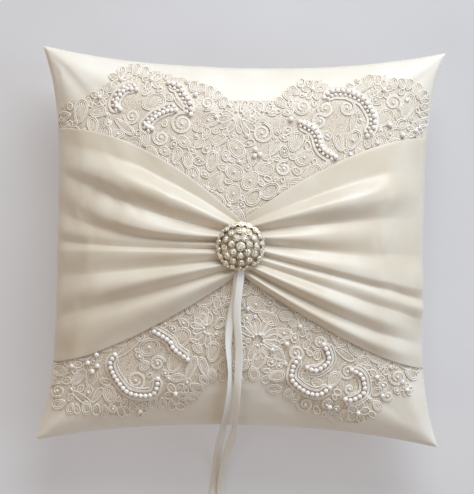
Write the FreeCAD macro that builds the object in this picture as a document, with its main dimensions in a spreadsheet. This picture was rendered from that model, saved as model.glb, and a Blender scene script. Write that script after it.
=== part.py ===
import FreeCAD, Part
import math
import os
import Sketcher
from FreeCAD import Placement, Rotation, Vector

# Ring bearer pillow, millimetres, +Z up. The pillow lies on its back with the decorated front up.
# The origin is the middle of the footprint, on the surface that the pillow rests on.
# +X runs along the sash to the right wing, and +Y points to the top edge of the pillow.

SIZES = [
    # the stuffed cover
    ("corner_half_width", 127.3),  # middle to a corner along X
    ("corner_half_height", 124.6),  # middle to a corner along Y
    ("side_half_width", 115.0),  # middle to the pulled-in side edge
    ("side_half_height", 112.8),  # middle to the pulled-in top or bottom edge
    ("pull_in_power", 2.4),  # how sharply an edge flares towards its corners
    ("seam_height", 33.0),  # the cover's seam above the rest plane
    ("front_rise", 36.0),  # crown of the front panel above the seam
    ("back_drop", 37.0),  # crown of the back panel below the seam, pressed flat at the rest plane
    ("crown_power", 0.92),
    ("cover_thickness", 0.7),  # satin with its backing
    ("filling_gap", 0.1),
    ("seam_gap", 0.4),
    ("seam_thread_radius", 0.2),
    ("stitch_length", 2.3),
    ("stitch_pitch", 3.0),
    ("closing_half_length", 38.0),  # hand-closed stuffing gap in the bottom edge
    # what lies on the front panel, as heights above its surface
    ("lace_underside", 0.15),
    ("lace_top", 1.0),
    ("pearl_radius", 1.3),
    ("bead_radius", 1.5),
    ("sash_underside", 1.2),
    ("sash_top", 2.9),
    ("gather_thread_radius", 0.2),
    ("gather_turns", 3),
    ("gather_pitch", 0.9),  # between turns of the gathering thread
    ("gather_underside", 0.45),
    ("gather_clearance", 0.6),  # from the thread to the sash's edges
    ("tacking_lift", 0.2),  # of the tacking stitches above the lace
    # ribbon
    ("ribbon_width", 5.0),
    ("ribbon_thickness", 0.4),
    ("anchor_underside", 3.6),
    ("anchor_top", 5.2),
    ("anchor_end", 13.5),
    ("anchor_start", 4.0),
    ("anchor_spare_width", 2.4),  # the folded ribbon is wider than one tail
    # brooch, as heights above the front panel's crown
    ("plate_underside", 5.6),
    ("plate_thickness", 0.8),
    ("plate_radius", 13.6),
    ("dome_radius", 27.5),
    ("dome_rise", 4.2),
    ("girdle_lift", 1.7),  # from the dome to the widest line of a stone
    ("shank_ring_radius", 1.5),
    ("shank_wire_radius", 0.35),
    ("sewing_thread_radius", 0.3),
    ("needle_clearance", 0.1),
    ("needle_depth", 20.0),  # below and above the crown
    ("sewing_hole_radius", 0.8),
    ("prong_radius", 0.27),
    ("centre_stone_radius", 2.9),
    ("inner_stone_radius", 2.05),
    ("inner_stone_count", 7),
    ("inner_stone_tilt", 11.3),
    ("middle_stone_radius", 1.75),
    ("middle_stone_count", 12),
    ("middle_stone_tilt", 20.2),
    ("outer_stone_radius", 1.5),
    ("outer_stone_count", 18),
    ("outer_stone_tilt", 28.2),
    ("accent_stone_radius", 0.75),
    ("accent_stone_tilt", 30.4),
]

# Edges of the sash: half-width along X, then Y. The sash is the same on both wings.
SASH_TOP = [(0, 15.5), (11, 23.5), (22, 32.5), (41, 45.5), (62, 55.5), (88, 65), (122, 72)]
SASH_BOTTOM = [(0, -16.5), (11, -25.5), (22, -33.5), (41, -44), (62, -53.5), (90, -65), (122, -75)]
SASH_LAP = 5.0  # how far the lace runs on under the sash
LACE_NOTCH = 18.5  # the lace stops this far from the middle, clear of the gathering thread
LACE_SIDE = 112  # X where the hidden edge ends, beside the pulled-in side
LACE_SIDE_STEP = 3  # how far the hidden edge comes out there
TACKING_INSET = 0.985  # of the way from the middle to the lace's edge
TACKING_THREAD = 0.75  # of the seam thread's radius
BEAD_TABLE = 0.45  # radius of a bead's flat ends, times its own radius
BEAD_HALF_HEIGHT = 0.7  # times its radius

# Outer edges of the two lace appliqués, from the left wing to the right one.
UPPER_LACE_EDGE = [
    (-114.5, 76), (-113.5, 85), (-103, 90), (-88, 96), (-81, 108), (-69, 112.5), (-58, 109), (-44, 105),
    (-20, 98.5), (-8, 90), (5, 91.5), (19, 91), (33, 102), (46, 104.5), (59, 99.5), (78, 108), (94, 106.5),
    (107, 105.5), (115.5, 96), (114.5, 78),
]
LOWER_LACE_EDGE = [
    (-113.5, -76), (-115.5, -87), (-116, -98), (-111, -105.5), (-93, -106), (-78, -107.5), (-69, -106),
    (-58, -101), (-40, -102), (-28, -98), (-17, -83.5), (2, -85), (13, -81.5), (20, -87.5), (41, -98),
    (56, -104.5), (71, -109.5), (80, -107.5), (88, -101), (95, -93.5), (104, -88.5), (112, -78),
]

# Lines of pearls on the lace scrolls; pearls are spaced evenly along each.
UPPER_PEARL_LINES = [
    [(-67, 98), (-74, 98), (-79, 93), (-81, 87), (-77.5, 83.5)],
    [(-47.5, 100), (-41.5, 98.5), (-39, 94.5), (-34.5, 88)],
    [(-47.5, 85), (-54.5, 81.5), (-59, 77.5), (-61.5, 74), (-57, 71.5)],
    [(51.5, 93), (55, 96.5), (60.5, 97), (66, 96.5), (74, 93), (78, 88), (81, 82), (80.5, 76), (77, 71.5)],
    [(35, 77.5), (43, 73.5), (46, 69.5), (48, 63), (51, 59.5), (57.5, 56)],
]
LOWER_PEARL_LINES = [
    [(-77, -69), (-80, -74.5), (-78.5, -80.5), (-74.5, -86.5), (-69.5, -92), (-63.5, -94),
     (-56, -94), (-52, -92), (-50.5, -88), (-50, -83.5)],
    [(-55.5, -52.5), (-43.5, -59.5), (-40.5, -64.5), (-31.5, -71)],
    [(38, -69), (35, -73), (33.5, -78), (33.5, -82), (36.5, -85.5), (40.5, -88.5), (46, -91),
     (52, -91), (57.5, -87)],
    [(53, -60), (55.5, -65), (56.5, -70), (53, -74), (48, -76.5), (43, -74.5)],
    [(71, -75.5), (77, -79), (79, -84.5), (78.5, -90.5), (72, -94.5), (67.5, -94)],
]
UPPER_BEADS = [(-16.5, 80.9), (-8.3, 87.2), (67.4, 58.4), (102.8, 93.8), (84.4, 66.4), (113.9, 77)]
LOWER_BEADS = [(5.5, -38.8), (10, -43.5), (15, -55), (21, -64), (91, -92), (103, -83)]

# Control points of the two ribbon tails, from under the brooch to the cut ends.
LEFT_TAIL = [
    (-1.2, -13.5, 73.0), (-2.2, -28.0, 72.2), (-4.4, -44.0, 70.0), (-5.3, -60.0, 67.0), (-4.3, -75.5, 62.8),
    (-4.7, -89.5, 57.6), (-6.2, -101.5, 51.2), (-7.8, -111.0, 42.5), (-9.0, -117.5, 31.5),
    (-10.0, -122.0, 20.0), (-11.0, -127.5, 9.5), (-12.2, -136.5, 2.6), (-13.2, -148.0, 0.8),
    (-14.6, -161.0, 0.8), (-17.8, -174.0, 0.8), (-18.6, -187.0, 0.8),
]
RIGHT_TAIL = [
    (1.2, -13.5, 74.0), (0.4, -28.0, 73.4), (-0.9, -44.0, 71.4), (-0.3, -60.0, 68.4), (-0.8, -75.5, 64.2),
    (-0.6, -89.5, 59.0), (-1.2, -102.0, 52.6), (-1.4, -112.0, 43.5), (-1.7, -119.0, 32.0),
    (-2.0, -124.0, 20.0), (-2.8, -130.0, 9.5), (-5.2, -139.0, 2.6), (-7.8, -150.0, 0.8),
    (-9.6, -163.0, 0.8), (-8.4, -175.5, 0.8),
]
ARC_SHARE = 0.45  # of the shorter run at each control point

doc = FreeCAD.newDocument("ring_bearer_pillow")
sheet = doc.addObject("Spreadsheet::Sheet", "Sizes")
for row, (alias, value) in enumerate(SIZES, start=1):
    sheet.set(f"A{row}", alias)
    sheet.set(f"B{row}", str(value))
    sheet.setAlias(f"B{row}", alias)
doc.recompute()


def size(alias):
    return float(sheet.get(alias))


def sub_part(label, shape):
    """A sub-part whose free-form shape is set from the sheet's sizes."""
    feature = doc.addObject("Part::Feature", label)
    feature.Label = label
    feature.Shape = shape
    feature.Placement = Placement()
    return feature


# ---------------------------------------------------------------- cushion surface


def half_width(v):
    """From the middle to a side edge, at v in -1..1 up the pillow."""
    flare = size("corner_half_width") - size("side_half_width")
    return size("side_half_width") + flare * abs(v) ** size("pull_in_power")


def half_height(u):
    """From the middle to the top or bottom edge, at u in -1..1 across the pillow."""
    flare = size("corner_half_height") - size("side_half_height")
    return size("side_half_height") + flare * abs(u) ** size("pull_in_power")


def cushion_point(u, v, grow, base, rise):
    """Point of the crowned surface at u, v in -1..1, grown outwards by grow."""
    x = u * (half_width(v) + grow)
    y = v * (half_height(u) + grow)
    crown = max(0.0, (1 - u * u) * (1 - v * v)) ** (size("crown_power") / 2)
    return Vector(x, y, base + math.copysign(abs(rise) + grow, rise) * crown)


def crowned_face(grow, base, rise):
    """The crowned surface over the whole outline, as one spline face."""
    steps = 28
    angles = [math.pi / 2 * (2 * i / steps - 1) for i in range(steps + 1)]
    grid = [[cushion_point(math.sin(a), math.sin(b), grow, base, rise) for b in angles] for a in angles]
    surface = Part.BSplineSurface()
    surface.interpolate(grid)
    return surface.toShape()


def closed_solid(faces):
    shell = Part.Shell(faces)
    shell.sewShape()
    solid = Part.Solid(shell)
    solid.fix(0.001, 0.001, 0.001)
    if solid.Volume < 0:
        solid.reverse()
    return solid


def cushion_half(grow, base, rise):
    """Closed half of the cushion: the crowned surface and a flat face at its base."""
    crown = crowned_face(grow, base, rise)
    return closed_solid([crown, Part.Face(Part.Wire(Part.__sortEdges__(crown.Edges)))])


def front_point(x, y, lift=0.0):
    """Point above the front panel at x, y, lifted by lift."""
    u, v = x / size("corner_half_width"), y / size("corner_half_height")
    for _ in range(30):
        u = max(-0.999, min(0.999, x / half_width(v)))
        v = max(-0.999, min(0.999, y / half_height(u)))
    return cushion_point(u, v, lift, size("seam_height"), size("front_rise"))


def front_skin(low, high):
    """A skin over the front panel, between two heights above it."""
    seam, rise = size("seam_height"), size("front_rise")
    return cushion_half(high, seam, rise).cut(cushion_half(low, seam, rise))


def below(height):
    reach = 2 * size("corner_half_width")
    return Part.makeBox(2 * reach, 2 * reach, reach, Vector(-reach, -reach, height - reach))


def stitch(start, end, radius):
    return Part.makeCylinder(radius, (end - start).Length, start, end - start)


seam = size("seam_height")
front_top = seam + size("front_rise")
half_gap = size("seam_gap") / 2
cover = size("cover_thickness")
needle_depth = size("needle_depth")
needle_hole = Part.makeCylinder(
    size("sewing_thread_radius") + size("needle_clearance"),
    2 * needle_depth,
    Vector(0, 0, front_top - needle_depth),
)

# Cover: two shells that meet at the seam, the back one pressed flat where it rests.
front_panel = cushion_half(0, seam + half_gap, size("front_rise") - half_gap).cut(
    cushion_half(-cover, seam + half_gap, size("front_rise") - half_gap)
)
sub_part("cover_front_panel", front_panel.cut(needle_hole))
back_panel = cushion_half(0, seam - half_gap, -size("back_drop")).cut(below(0)).cut(
    cushion_half(-cover, seam - half_gap, -size("back_drop")).cut(below(cover))
)
sub_part("cover_back_panel", back_panel)

inset = -(cover + size("filling_gap"))
filling = closed_solid([
    crowned_face(inset, seam, size("front_rise")),
    crowned_face(inset, seam, -size("back_drop")),
])
sub_part("fibrefill_core", filling.cut(below(-inset)).cut(needle_hole))

# Seam stitches all round, and the hand-closed stretch in the middle of the bottom edge.
machine_stitches, hand_stitches = [], []
corners = [Vector(1, 1), Vector(-1, 1), Vector(-1, -1), Vector(1, -1)]
for side, first in enumerate(corners):
    last = corners[(side + 1) % 4]
    count = int(2 * size("side_half_width") / size("stitch_pitch"))
    for i in range(1, count):
        spots = []
        for share in (i / count, i / count + size("stitch_length") / (2 * size("side_half_width"))):
            at = first + (last - first) * min(share, 1 - 0.5 / count)
            spots.append(cushion_point(at.x, at.y, -cover / 2, seam, 0.001))
        start, end = (Vector(p.x, p.y, seam) for p in spots)
        by_hand = side == 2 and abs(start.x) < size("closing_half_length")
        stitches = hand_stitches if by_hand else machine_stitches
        stitches.append(stitch(start, end, size("seam_thread_radius")))
sub_part("seam_thread", Part.makeCompound(machine_stitches))
sub_part("closing_stitches", Part.makeCompound(hand_stitches))

# ---------------------------------------------------------------- sash and lace


def mirrored(points):
    """The left half of an edge that is the same on both sides of the middle, then the right half."""
    return [(-x, y) for x, y in reversed(points[1:])] + list(points)


def spline_edge(points):
    curve = Part.BSplineCurve()
    curve.interpolate([Vector(x, y, 0) for x, y in points])
    return curve.toShape()


def region(upper, lower):
    """A tall prism between two edges that both run from left to right."""
    top, bottom = spline_edge(upper), spline_edge(lower)
    closing = [
        Part.makeLine(Vector(*lower[0], 0), Vector(*upper[0], 0)),
        Part.makeLine(Vector(*lower[-1], 0), Vector(*upper[-1], 0)),
    ]
    wire = Part.Wire(Part.__sortEdges__([top, bottom] + closing))
    return Part.Face(wire).extrude(Vector(0, 0, 2 * front_top))


def under_sash(edge, direction):
    """The lace's hidden edge, which runs on under the sash by the lap."""
    hidden = [(x, y - direction * SASH_LAP) for x, y in edge[:-1]]
    hidden = [(x, direction * max(direction * y, LACE_NOTCH)) for x, y in hidden]
    side_y = edge[-2][1] + direction * (LACE_SIDE_STEP - SASH_LAP / 2)
    return mirrored(hidden + [(LACE_SIDE, side_y)])


sash = region(mirrored(SASH_TOP), mirrored(SASH_BOTTOM)).common(
    front_skin(size("sash_underside"), size("sash_top"))
)
sub_part("satin_sash", sash.cut(needle_hole))

lace_skin = front_skin(size("lace_underside"), size("lace_top"))
sub_part("lace_upper", region(UPPER_LACE_EDGE, under_sash(SASH_TOP, 1)).common(lace_skin))
sub_part("lace_lower", region(under_sash(SASH_BOTTOM, -1), LOWER_LACE_EDGE).common(lace_skin))

gather_loops = []
for turn in range(int(size("gather_turns"))):
    thread = size("gather_thread_radius")
    x = (turn - (size("gather_turns") - 1) / 2) * size("gather_pitch")
    low, high = front_top + size("gather_underside"), front_top + size("sash_top") + 1.1 * thread
    near, far = SASH_BOTTOM[0][1] - size("gather_clearance"), SASH_TOP[0][1] + size("gather_clearance")
    profile = Part.Wire(Part.makeCircle(thread, Vector(x, 0, low), Vector(0, 1, 0)))
    middle_first = Part.Wire([
        Part.makeLine(Vector(x, 0, low), Vector(x, far, low)),
        Part.makeLine(Vector(x, far, low), Vector(x, far, high)),
        Part.makeLine(Vector(x, far, high), Vector(x, near, high)),
        Part.makeLine(Vector(x, near, high), Vector(x, near, low)),
        Part.makeLine(Vector(x, near, low), Vector(x, 0, low)),
    ])
    gather_loops.append(middle_first.makePipeShell([profile], True, False, 1))
sub_part("sash_gather_thread", Part.makeCompound(gather_loops))


def along(points, pitch):
    """Evenly spaced points along a smooth line through the given points."""
    edge = spline_edge(points)
    count = max(2, round(edge.Length / pitch) + 1)
    return [Vector(p.x, p.y, 0) for p in edge.discretize(Number=count)]


def pearls(lines):
    radius = size("pearl_radius")
    spots = [p for line in lines for p in along(line, 2 * radius + 0.15)]
    return Part.makeCompound([
        Part.makeSphere(radius, front_point(p.x, p.y, size("lace_top") + radius)) for p in spots
    ])


def beads(spots):
    """Faceted glass beads: two short cones, base to base."""
    radius = size("bead_radius")
    table, half_height = radius * BEAD_TABLE, radius * BEAD_HALF_HEIGHT
    solids = []
    for x, y in spots:
        at = front_point(x, y, size("lace_top") + half_height)
        upper = Part.makeCone(radius, table, half_height, at)
        lower = Part.makeCone(radius, table, half_height, at, Vector(0, 0, -1))
        solids.append(upper.fuse(lower))
    return Part.makeCompound(solids)


def tacking(edge):
    """Small stitches that hold a lace edge down."""
    spots = along(edge[1:-1], 2 * size("stitch_pitch"))
    solids = []
    for p in spots[1:-1]:
        inner = p * TACKING_INSET
        lift = size("lace_top") + size("tacking_lift")
        ends = [front_point(q.x, q.y, lift) for q in (inner, inner * TACKING_INSET)]
        solids.append(stitch(ends[0], ends[1], size("seam_thread_radius") * TACKING_THREAD))
    return Part.makeCompound(solids)


sub_part("lace_upper_pearls", pearls(UPPER_PEARL_LINES))
sub_part("lace_lower_pearls", pearls(LOWER_PEARL_LINES))
sub_part("lace_upper_beads", beads(UPPER_BEADS))
sub_part("lace_lower_beads", beads(LOWER_BEADS))
sub_part("lace_tacking_thread", Part.makeCompound([tacking(UPPER_LACE_EDGE), tacking(LOWER_LACE_EDGE)]))

# ---------------------------------------------------------------- ring ribbons


def tail_path(points):
    """Straight runs joined by tangent arcs, and the arcs' radii."""
    spots = [Vector(*p) for p in points]
    edges, radii, last = [], [], spots[0]
    for before, here, after in zip(spots, spots[1:], spots[2:]):
        into, out = (before - here), (after - here)
        half_turn = (math.pi - into.getAngle(out)) / 2
        reach = ARC_SHARE * min(into.Length, out.Length)
        radii.append(reach / math.tan(half_turn))
        into.normalize()
        out.normalize()
        start, end = here + into * reach, here + out * reach
        depth = radii[-1] / math.cos(half_turn) - radii[-1]
        middle = here + (into + out).normalize() * depth
        edges.append(Part.makeLine(last, start))
        edges.append(Part.Arc(start, middle, end).toShape())
        last = end
    edges.append(Part.makeLine(last, spots[-1]))
    return Part.Wire(edges), radii


def ribbon_tail(label, points):
    path, radii = tail_path(points)
    width, thickness = size("ribbon_width"), size("ribbon_thickness")
    start = Vector(*points[0])
    heading = (Vector(*points[1]) - start).normalize()
    across = Vector(1, 0, 0) - heading * heading.x
    across.normalize()
    up = across.cross(heading) * (thickness / 2)
    across *= width / 2
    rim = [start - across - up, start + across - up, start + across + up, start - across + up]
    profile = Part.makePolygon(rim + rim[:1])
    sweep = Part.BRepOffsetAPI.MakePipeShell(path)
    sweep.setBiNormalMode(Vector(1, 0, 0))
    sweep.add(profile, False, False)
    sweep.build()
    sweep.makeSolid()
    solid = sweep.shape()
    print(label, "length", round(path.Length, 1), "tightest", round(min(radii), 1),
          "volume share", round(solid.Volume / (path.Length * width * thickness), 3))
    sub_part(label, solid)


ribbon_tail("ribbon_left_tail", LEFT_TAIL)
ribbon_tail("ribbon_right_tail", RIGHT_TAIL)

fold = doc.addObject("Part::Box", "ribbon_anchor_fold")
fold.Label = "ribbon_anchor_fold"
fold.setExpression("Length", "Sizes.ribbon_width + Sizes.anchor_spare_width")
fold.setExpression("Width", "Sizes.anchor_end - Sizes.anchor_start")
fold.setExpression("Height", "Sizes.anchor_top - Sizes.anchor_underside")
fold.setExpression("Placement.Base.x", "-(Sizes.ribbon_width + Sizes.anchor_spare_width) / 2")
fold.setExpression("Placement.Base.y", "-Sizes.anchor_end")
fold.setExpression("Placement.Base.z", "Sizes.seam_height + Sizes.front_rise + Sizes.anchor_underside")

# ---------------------------------------------------------------- brooch

CROWN_BASE = "Sizes.seam_height + Sizes.front_rise + Sizes.plate_underside"
DOME_BASE = f"{CROWN_BASE} + Sizes.plate_thickness"
DOME_CENTRE = f"{DOME_BASE} + Sizes.dome_rise - Sizes.dome_radius"


def origin_feature(body, role):
    return next(o for o in body.Origin.OriginFeatures if o.Role == role)


def new_body(label):
    body = doc.addObject("PartDesign::Body", label)
    body.Label = label
    body.AllowCompound = True
    return body


def place_on_dome(feature, body, tilt, lift, aside="0", along_ring="0"):
    """Stands a feature on the dome: tilt from the top, lift outwards, and offsets in its own plane."""
    feature.AttachmentSupport = [(origin_feature(body, "XY_Plane"), "")]
    feature.MapMode = "FlatFace"
    reach = f"(Sizes.dome_radius + {lift})"
    feature.AttachmentOffset = Placement(Vector(), Rotation(Vector(0, 1, 0), 1))
    feature.setExpression("AttachmentOffset.Base.x", f"{reach} * sin({tilt}) + ({aside}) * cos({tilt})")
    feature.setExpression("AttachmentOffset.Base.y", along_ring)
    feature.setExpression(
        "AttachmentOffset.Base.z", f"{DOME_CENTRE} + {reach} * cos({tilt}) - ({aside}) * sin({tilt})"
    )
    feature.setExpression("AttachmentOffset.Rotation.Angle", tilt)


def polygon_sketch(body, name, sides, radius, tilt, lift):
    """A regular polygon on the dome whose circumradius is bound to the sheet."""
    sketch = body.newObject("Sketcher::SketchObject", name)
    place_on_dome(sketch, body, tilt, lift)
    spots = [Vector(math.cos(a), math.sin(a), 0) for a in (math.tau * i / sides for i in range(sides))]
    for i, spot in enumerate(spots):
        sketch.addGeometry(Part.LineSegment(spot, spots[(i + 1) % sides]), False)
    circle = sketch.addGeometry(Part.Circle(Vector(), Vector(0, 0, 1), 1), True)
    rules = [Sketcher.Constraint("Coincident", circle, 3, -1, 1)]
    rules += [Sketcher.Constraint("Coincident", i, 2, (i + 1) % sides, 1) for i in range(sides)]
    rules += [Sketcher.Constraint("PointOnObject", i, 1, circle) for i in range(sides)]
    rules += [Sketcher.Constraint("Equal", 0, i) for i in range(1, sides)]
    rules += [Sketcher.Constraint("PointOnObject", 0, 1, -1)]
    sketch.addConstraint(rules)
    bound = sketch.addConstraint(Sketcher.Constraint("Radius", circle, 1))
    sketch.renameConstraint(bound, "circumradius")
    sketch.setExpression("Constraints.circumradius", radius)
    return sketch


def polar(body, name, originals, count, turn=0.0):
    """Repeats features round the brooch's axis and makes the result the body's tip."""
    doc.recompute()
    pattern = body.newObject("PartDesign::PolarPattern", name)
    pattern.Originals = originals
    pattern.Axis = (origin_feature(body, "Z_Axis"), [""])
    pattern.Angle = 360
    pattern.setExpression("Occurrences", count)
    body.Tip = pattern
    doc.recompute()
    return pattern


def stone_body(label, sides, radius, tilt, count=None, start_angle=0.0):
    """Cut stones: a pavilion, a girdle and a crown with a flat table, repeated round the brooch."""
    body = new_body(label)
    levels = [("culet", 0.25, -0.62), ("girdle", 1.0, 0.0), ("girdle_top", 1.0, 0.1), ("table", 0.58, 0.42)]
    sketches = [
        polygon_sketch(body, f"{label}_{name}", sides, f"{share} * {radius}",
                       tilt, f"Sizes.girdle_lift + {height} * {radius}")
        for name, share, height in levels
    ]
    doc.recompute()
    cut = body.newObject("PartDesign::AdditiveLoft", f"{label}_cut")
    cut.Profile = sketches[0]
    cut.Sections = sketches[1:]
    cut.Ruled = True
    if count:
        polar(body, f"{label}_ring", [cut], count)
    body.Placement = Placement(Vector(), Rotation(Vector(0, 0, 1), start_angle))
    return body


RINGS = [
    # label, name of its sizes, name of its count, start angle in degrees, prongs per stone
    ("inner_ring_stones", "inner_stone", "inner_stone_count", 12, 4),
    ("middle_ring_stones", "middle_stone", "middle_stone_count", 4, 4),
    ("outer_ring_stones", "outer_stone", "outer_stone_count", 9, 3),
    ("accent_stones", "accent_stone", "outer_stone_count", 19, 0),
]
RINGS = [
    (label, f"Sizes.{name}_radius", f"Sizes.{name}_tilt", f"Sizes.{count}", start_angle, claws)
    for label, name, count, start_angle, claws in RINGS
]
stone_body("centre_stone", 12, "Sizes.centre_stone_radius", "0")
for label, radius, tilt, count, start_angle, _ in RINGS:
    stone_body(label, 8, radius, tilt, count, start_angle)


def cup(body, name, radius, tilt):
    """A cup under a stone, with a well for the stone's pavilion."""
    wall = body.newObject("PartDesign::AdditiveCone", f"{name}_cup")
    place_on_dome(wall, body, tilt, "0")
    wall.setExpression("Radius1", f"0.7 * {radius}")
    wall.setExpression("Radius2", f"{radius} + 0.8 * Sizes.prong_radius")
    wall.setExpression("Height", f"Sizes.girdle_lift - 0.16 * {radius}")
    well = body.newObject("PartDesign::SubtractiveCone", f"{name}_well")
    place_on_dome(well, body, tilt, f"Sizes.girdle_lift - 0.7 * {radius}")
    well.setExpression("Radius1", f"0.25 * {radius}")
    well.setExpression("Radius2", f"0.87 * {radius}")
    well.setExpression("Height", f"0.56 * {radius}")
    return [wall, well]


def prongs(body, name, radius, tilt, count):
    """Claws that stand round a stone and reach just over its girdle."""
    made = []
    for i in range(count):
        angle = math.radians(360 * (i + 0.5) / count)
        claw = body.newObject("PartDesign::AdditiveCylinder", f"{name}_claw_{i}")
        gap = f"({radius} + Sizes.prong_radius)"
        aside = [f"{gap} * {share:.5f}" for share in (math.cos(angle), math.sin(angle))]
        place_on_dome(claw, body, tilt, "0.2", *aside)
        claw.setExpression("Radius", "Sizes.prong_radius")
        claw.setExpression("Height", f"Sizes.girdle_lift - 0.2 + 0.3 * {radius}")
        made.append(claw)
    return made


def setting_part(label, radius, tilt, count, start_angle, claws):
    body = new_body(label)
    made = cup(body, label, radius, tilt) + prongs(body, label, radius, tilt, claws)
    if count:
        polar(body, f"{label}_ring", made, count)
    body.Placement = Placement(Vector(), Rotation(Vector(0, 0, 1), start_angle))
    return body


def brooch_plate(label):
    """Flat back plate with four sewing holes."""
    body = new_body(label)
    disc = body.newObject("PartDesign::AdditiveCylinder", f"{label}_disc")
    disc.AttachmentSupport = [(origin_feature(body, "XY_Plane"), "")]
    disc.MapMode = "FlatFace"
    disc.setExpression("AttachmentOffset.Base.z", CROWN_BASE)
    disc.setExpression("Radius", "Sizes.plate_radius")
    disc.setExpression("Height", "Sizes.plate_thickness")
    hole = body.newObject("PartDesign::SubtractiveCylinder", f"{label}_hole")
    hole.AttachmentSupport = [(origin_feature(body, "XY_Plane"), "")]
    hole.MapMode = "FlatFace"
    hole.setExpression("AttachmentOffset.Base.x", "0.6 * Sizes.plate_radius")
    hole.setExpression("AttachmentOffset.Base.z", f"{CROWN_BASE} - 1")
    hole.setExpression("Radius", "Sizes.sewing_hole_radius")
    hole.setExpression("Height", "Sizes.plate_thickness + 2")
    polar(body, f"{label}_holes", [hole], "4")
    return body


def brooch_dome(label):
    """Domed carrier for the cups: a spherical cap, revolved from its section."""
    body = new_body(label)
    sketch = body.newObject("Sketcher::SketchObject", f"{label}_section")
    sketch.AttachmentSupport = [(origin_feature(body, "XZ_Plane"), "")]
    sketch.MapMode = "FlatFace"
    reach, rise = size("dome_radius"), size("dome_rise")
    base_z = front_top + size("plate_underside") + size("plate_thickness")
    centre_z = base_z + rise - reach
    rim = math.sqrt(reach * reach - (reach - rise) ** 2)
    start = math.atan2(base_z - centre_z, rim)
    cap = Part.Circle(Vector(0, centre_z, 0), Vector(0, 0, 1), reach)
    sketch.addGeometry(Part.ArcOfCircle(cap, start, math.pi / 2), False)
    sketch.addGeometry(Part.LineSegment(Vector(0, centre_z + reach, 0), Vector(0, base_z, 0)), False)
    sketch.addGeometry(Part.LineSegment(Vector(0, base_z, 0), Vector(rim, base_z, 0)), False)
    sketch.addConstraint([
        Sketcher.Constraint("Coincident", 0, 2, 1, 1),
        Sketcher.Constraint("Coincident", 1, 2, 2, 1),
        Sketcher.Constraint("Coincident", 2, 2, 0, 1),
        Sketcher.Constraint("PointOnObject", 0, 3, -2),
        Sketcher.Constraint("Vertical", 1),
        Sketcher.Constraint("PointOnObject", 1, 2, -2),
        Sketcher.Constraint("Horizontal", 2),
    ])
    bounds = [("cap_radius", Sketcher.Constraint("Radius", 0, reach), "Sizes.dome_radius"),
              ("cap_rise", Sketcher.Constraint("Distance", 1, rise), "Sizes.dome_rise"),
              ("base_level", Sketcher.Constraint("DistanceY", -1, 1, 1, 2, base_z), DOME_BASE)]
    for name, rule, expression in bounds:
        index = sketch.addConstraint(rule)
        sketch.renameConstraint(index, name)
        sketch.setExpression(f"Constraints.{name}", expression)
    doc.recompute()
    turned = body.newObject("PartDesign::Revolution", f"{label}_turned")
    turned.Profile = sketch
    turned.ReferenceAxis = (sketch, ["V_Axis"])
    turned.Angle = 360
    return body


def brooch_shank(label):
    """Half ring of wire under the plate, which the sewing thread passes through."""
    body = new_body(label)
    ring = body.newObject("PartDesign::AdditiveTorus", f"{label}_ring")
    ring.AttachmentSupport = [(origin_feature(body, "XZ_Plane"), "")]
    ring.MapMode = "FlatFace"
    ring.setExpression("AttachmentOffset.Base.y", CROWN_BASE)
    ring.setExpression("Radius1", "Sizes.shank_ring_radius")
    ring.setExpression("Radius2", "Sizes.shank_wire_radius")
    ring.Angle3 = 180
    ring.AttachmentOffset = Placement(Vector(), Rotation(Vector(0, 0, 1), 180))
    return body


brooch_plate("brooch_back_plate")
brooch_dome("brooch_dome")
setting_part("centre_setting", "Sizes.centre_stone_radius", "0", None, 0, 6)
for label, radius, tilt, count, start_angle, claws in RINGS:
    setting_part(label.replace("stones", "settings"), radius, tilt, count, start_angle, claws)
brooch_shank("brooch_shank")

# Sewing thread: down from the shank, through the sash and the front panel, into the filling.
sewing = doc.addObject("Part::Cylinder", "brooch_sewing_thread")
sewing.Label = "brooch_sewing_thread"
sewing.setExpression("Radius", "Sizes.sewing_thread_radius")
sewing.setExpression("Height", "Sizes.plate_underside + 12 - Sizes.shank_ring_radius")
sewing.setExpression("Placement.Base.z", "Sizes.seam_height + Sizes.front_rise - 12")

# ---------------------------------------------------------------- checks and export

doc.recompute()
INNER_TYPES = ("PartDesign::Body", "Part::Feature", "Part::Box", "Part::Cylinder")
sub_parts = [o for o in doc.Objects if o.TypeId in INNER_TYPES]
for item in doc.Objects:
    if "Invalid" in item.State or "Error" in item.State:
        raise RuntimeError(f"{item.Name} failed: {item.State}")
for item in sub_parts:
    if item.Shape.isNull() or not item.Shape.isValid() or not item.Shape.Solids:
        raise RuntimeError(f"{item.Label} has no valid solid")

os.makedirs("parts", exist_ok=True)
for item in sub_parts:
    item.Shape.exportStep(f"parts/{item.Label}.step")
    print(item.Label, len(item.Shape.Solids), "solids", round(item.Shape.Volume, 1), "mm3")
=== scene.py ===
import math
import random

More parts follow.
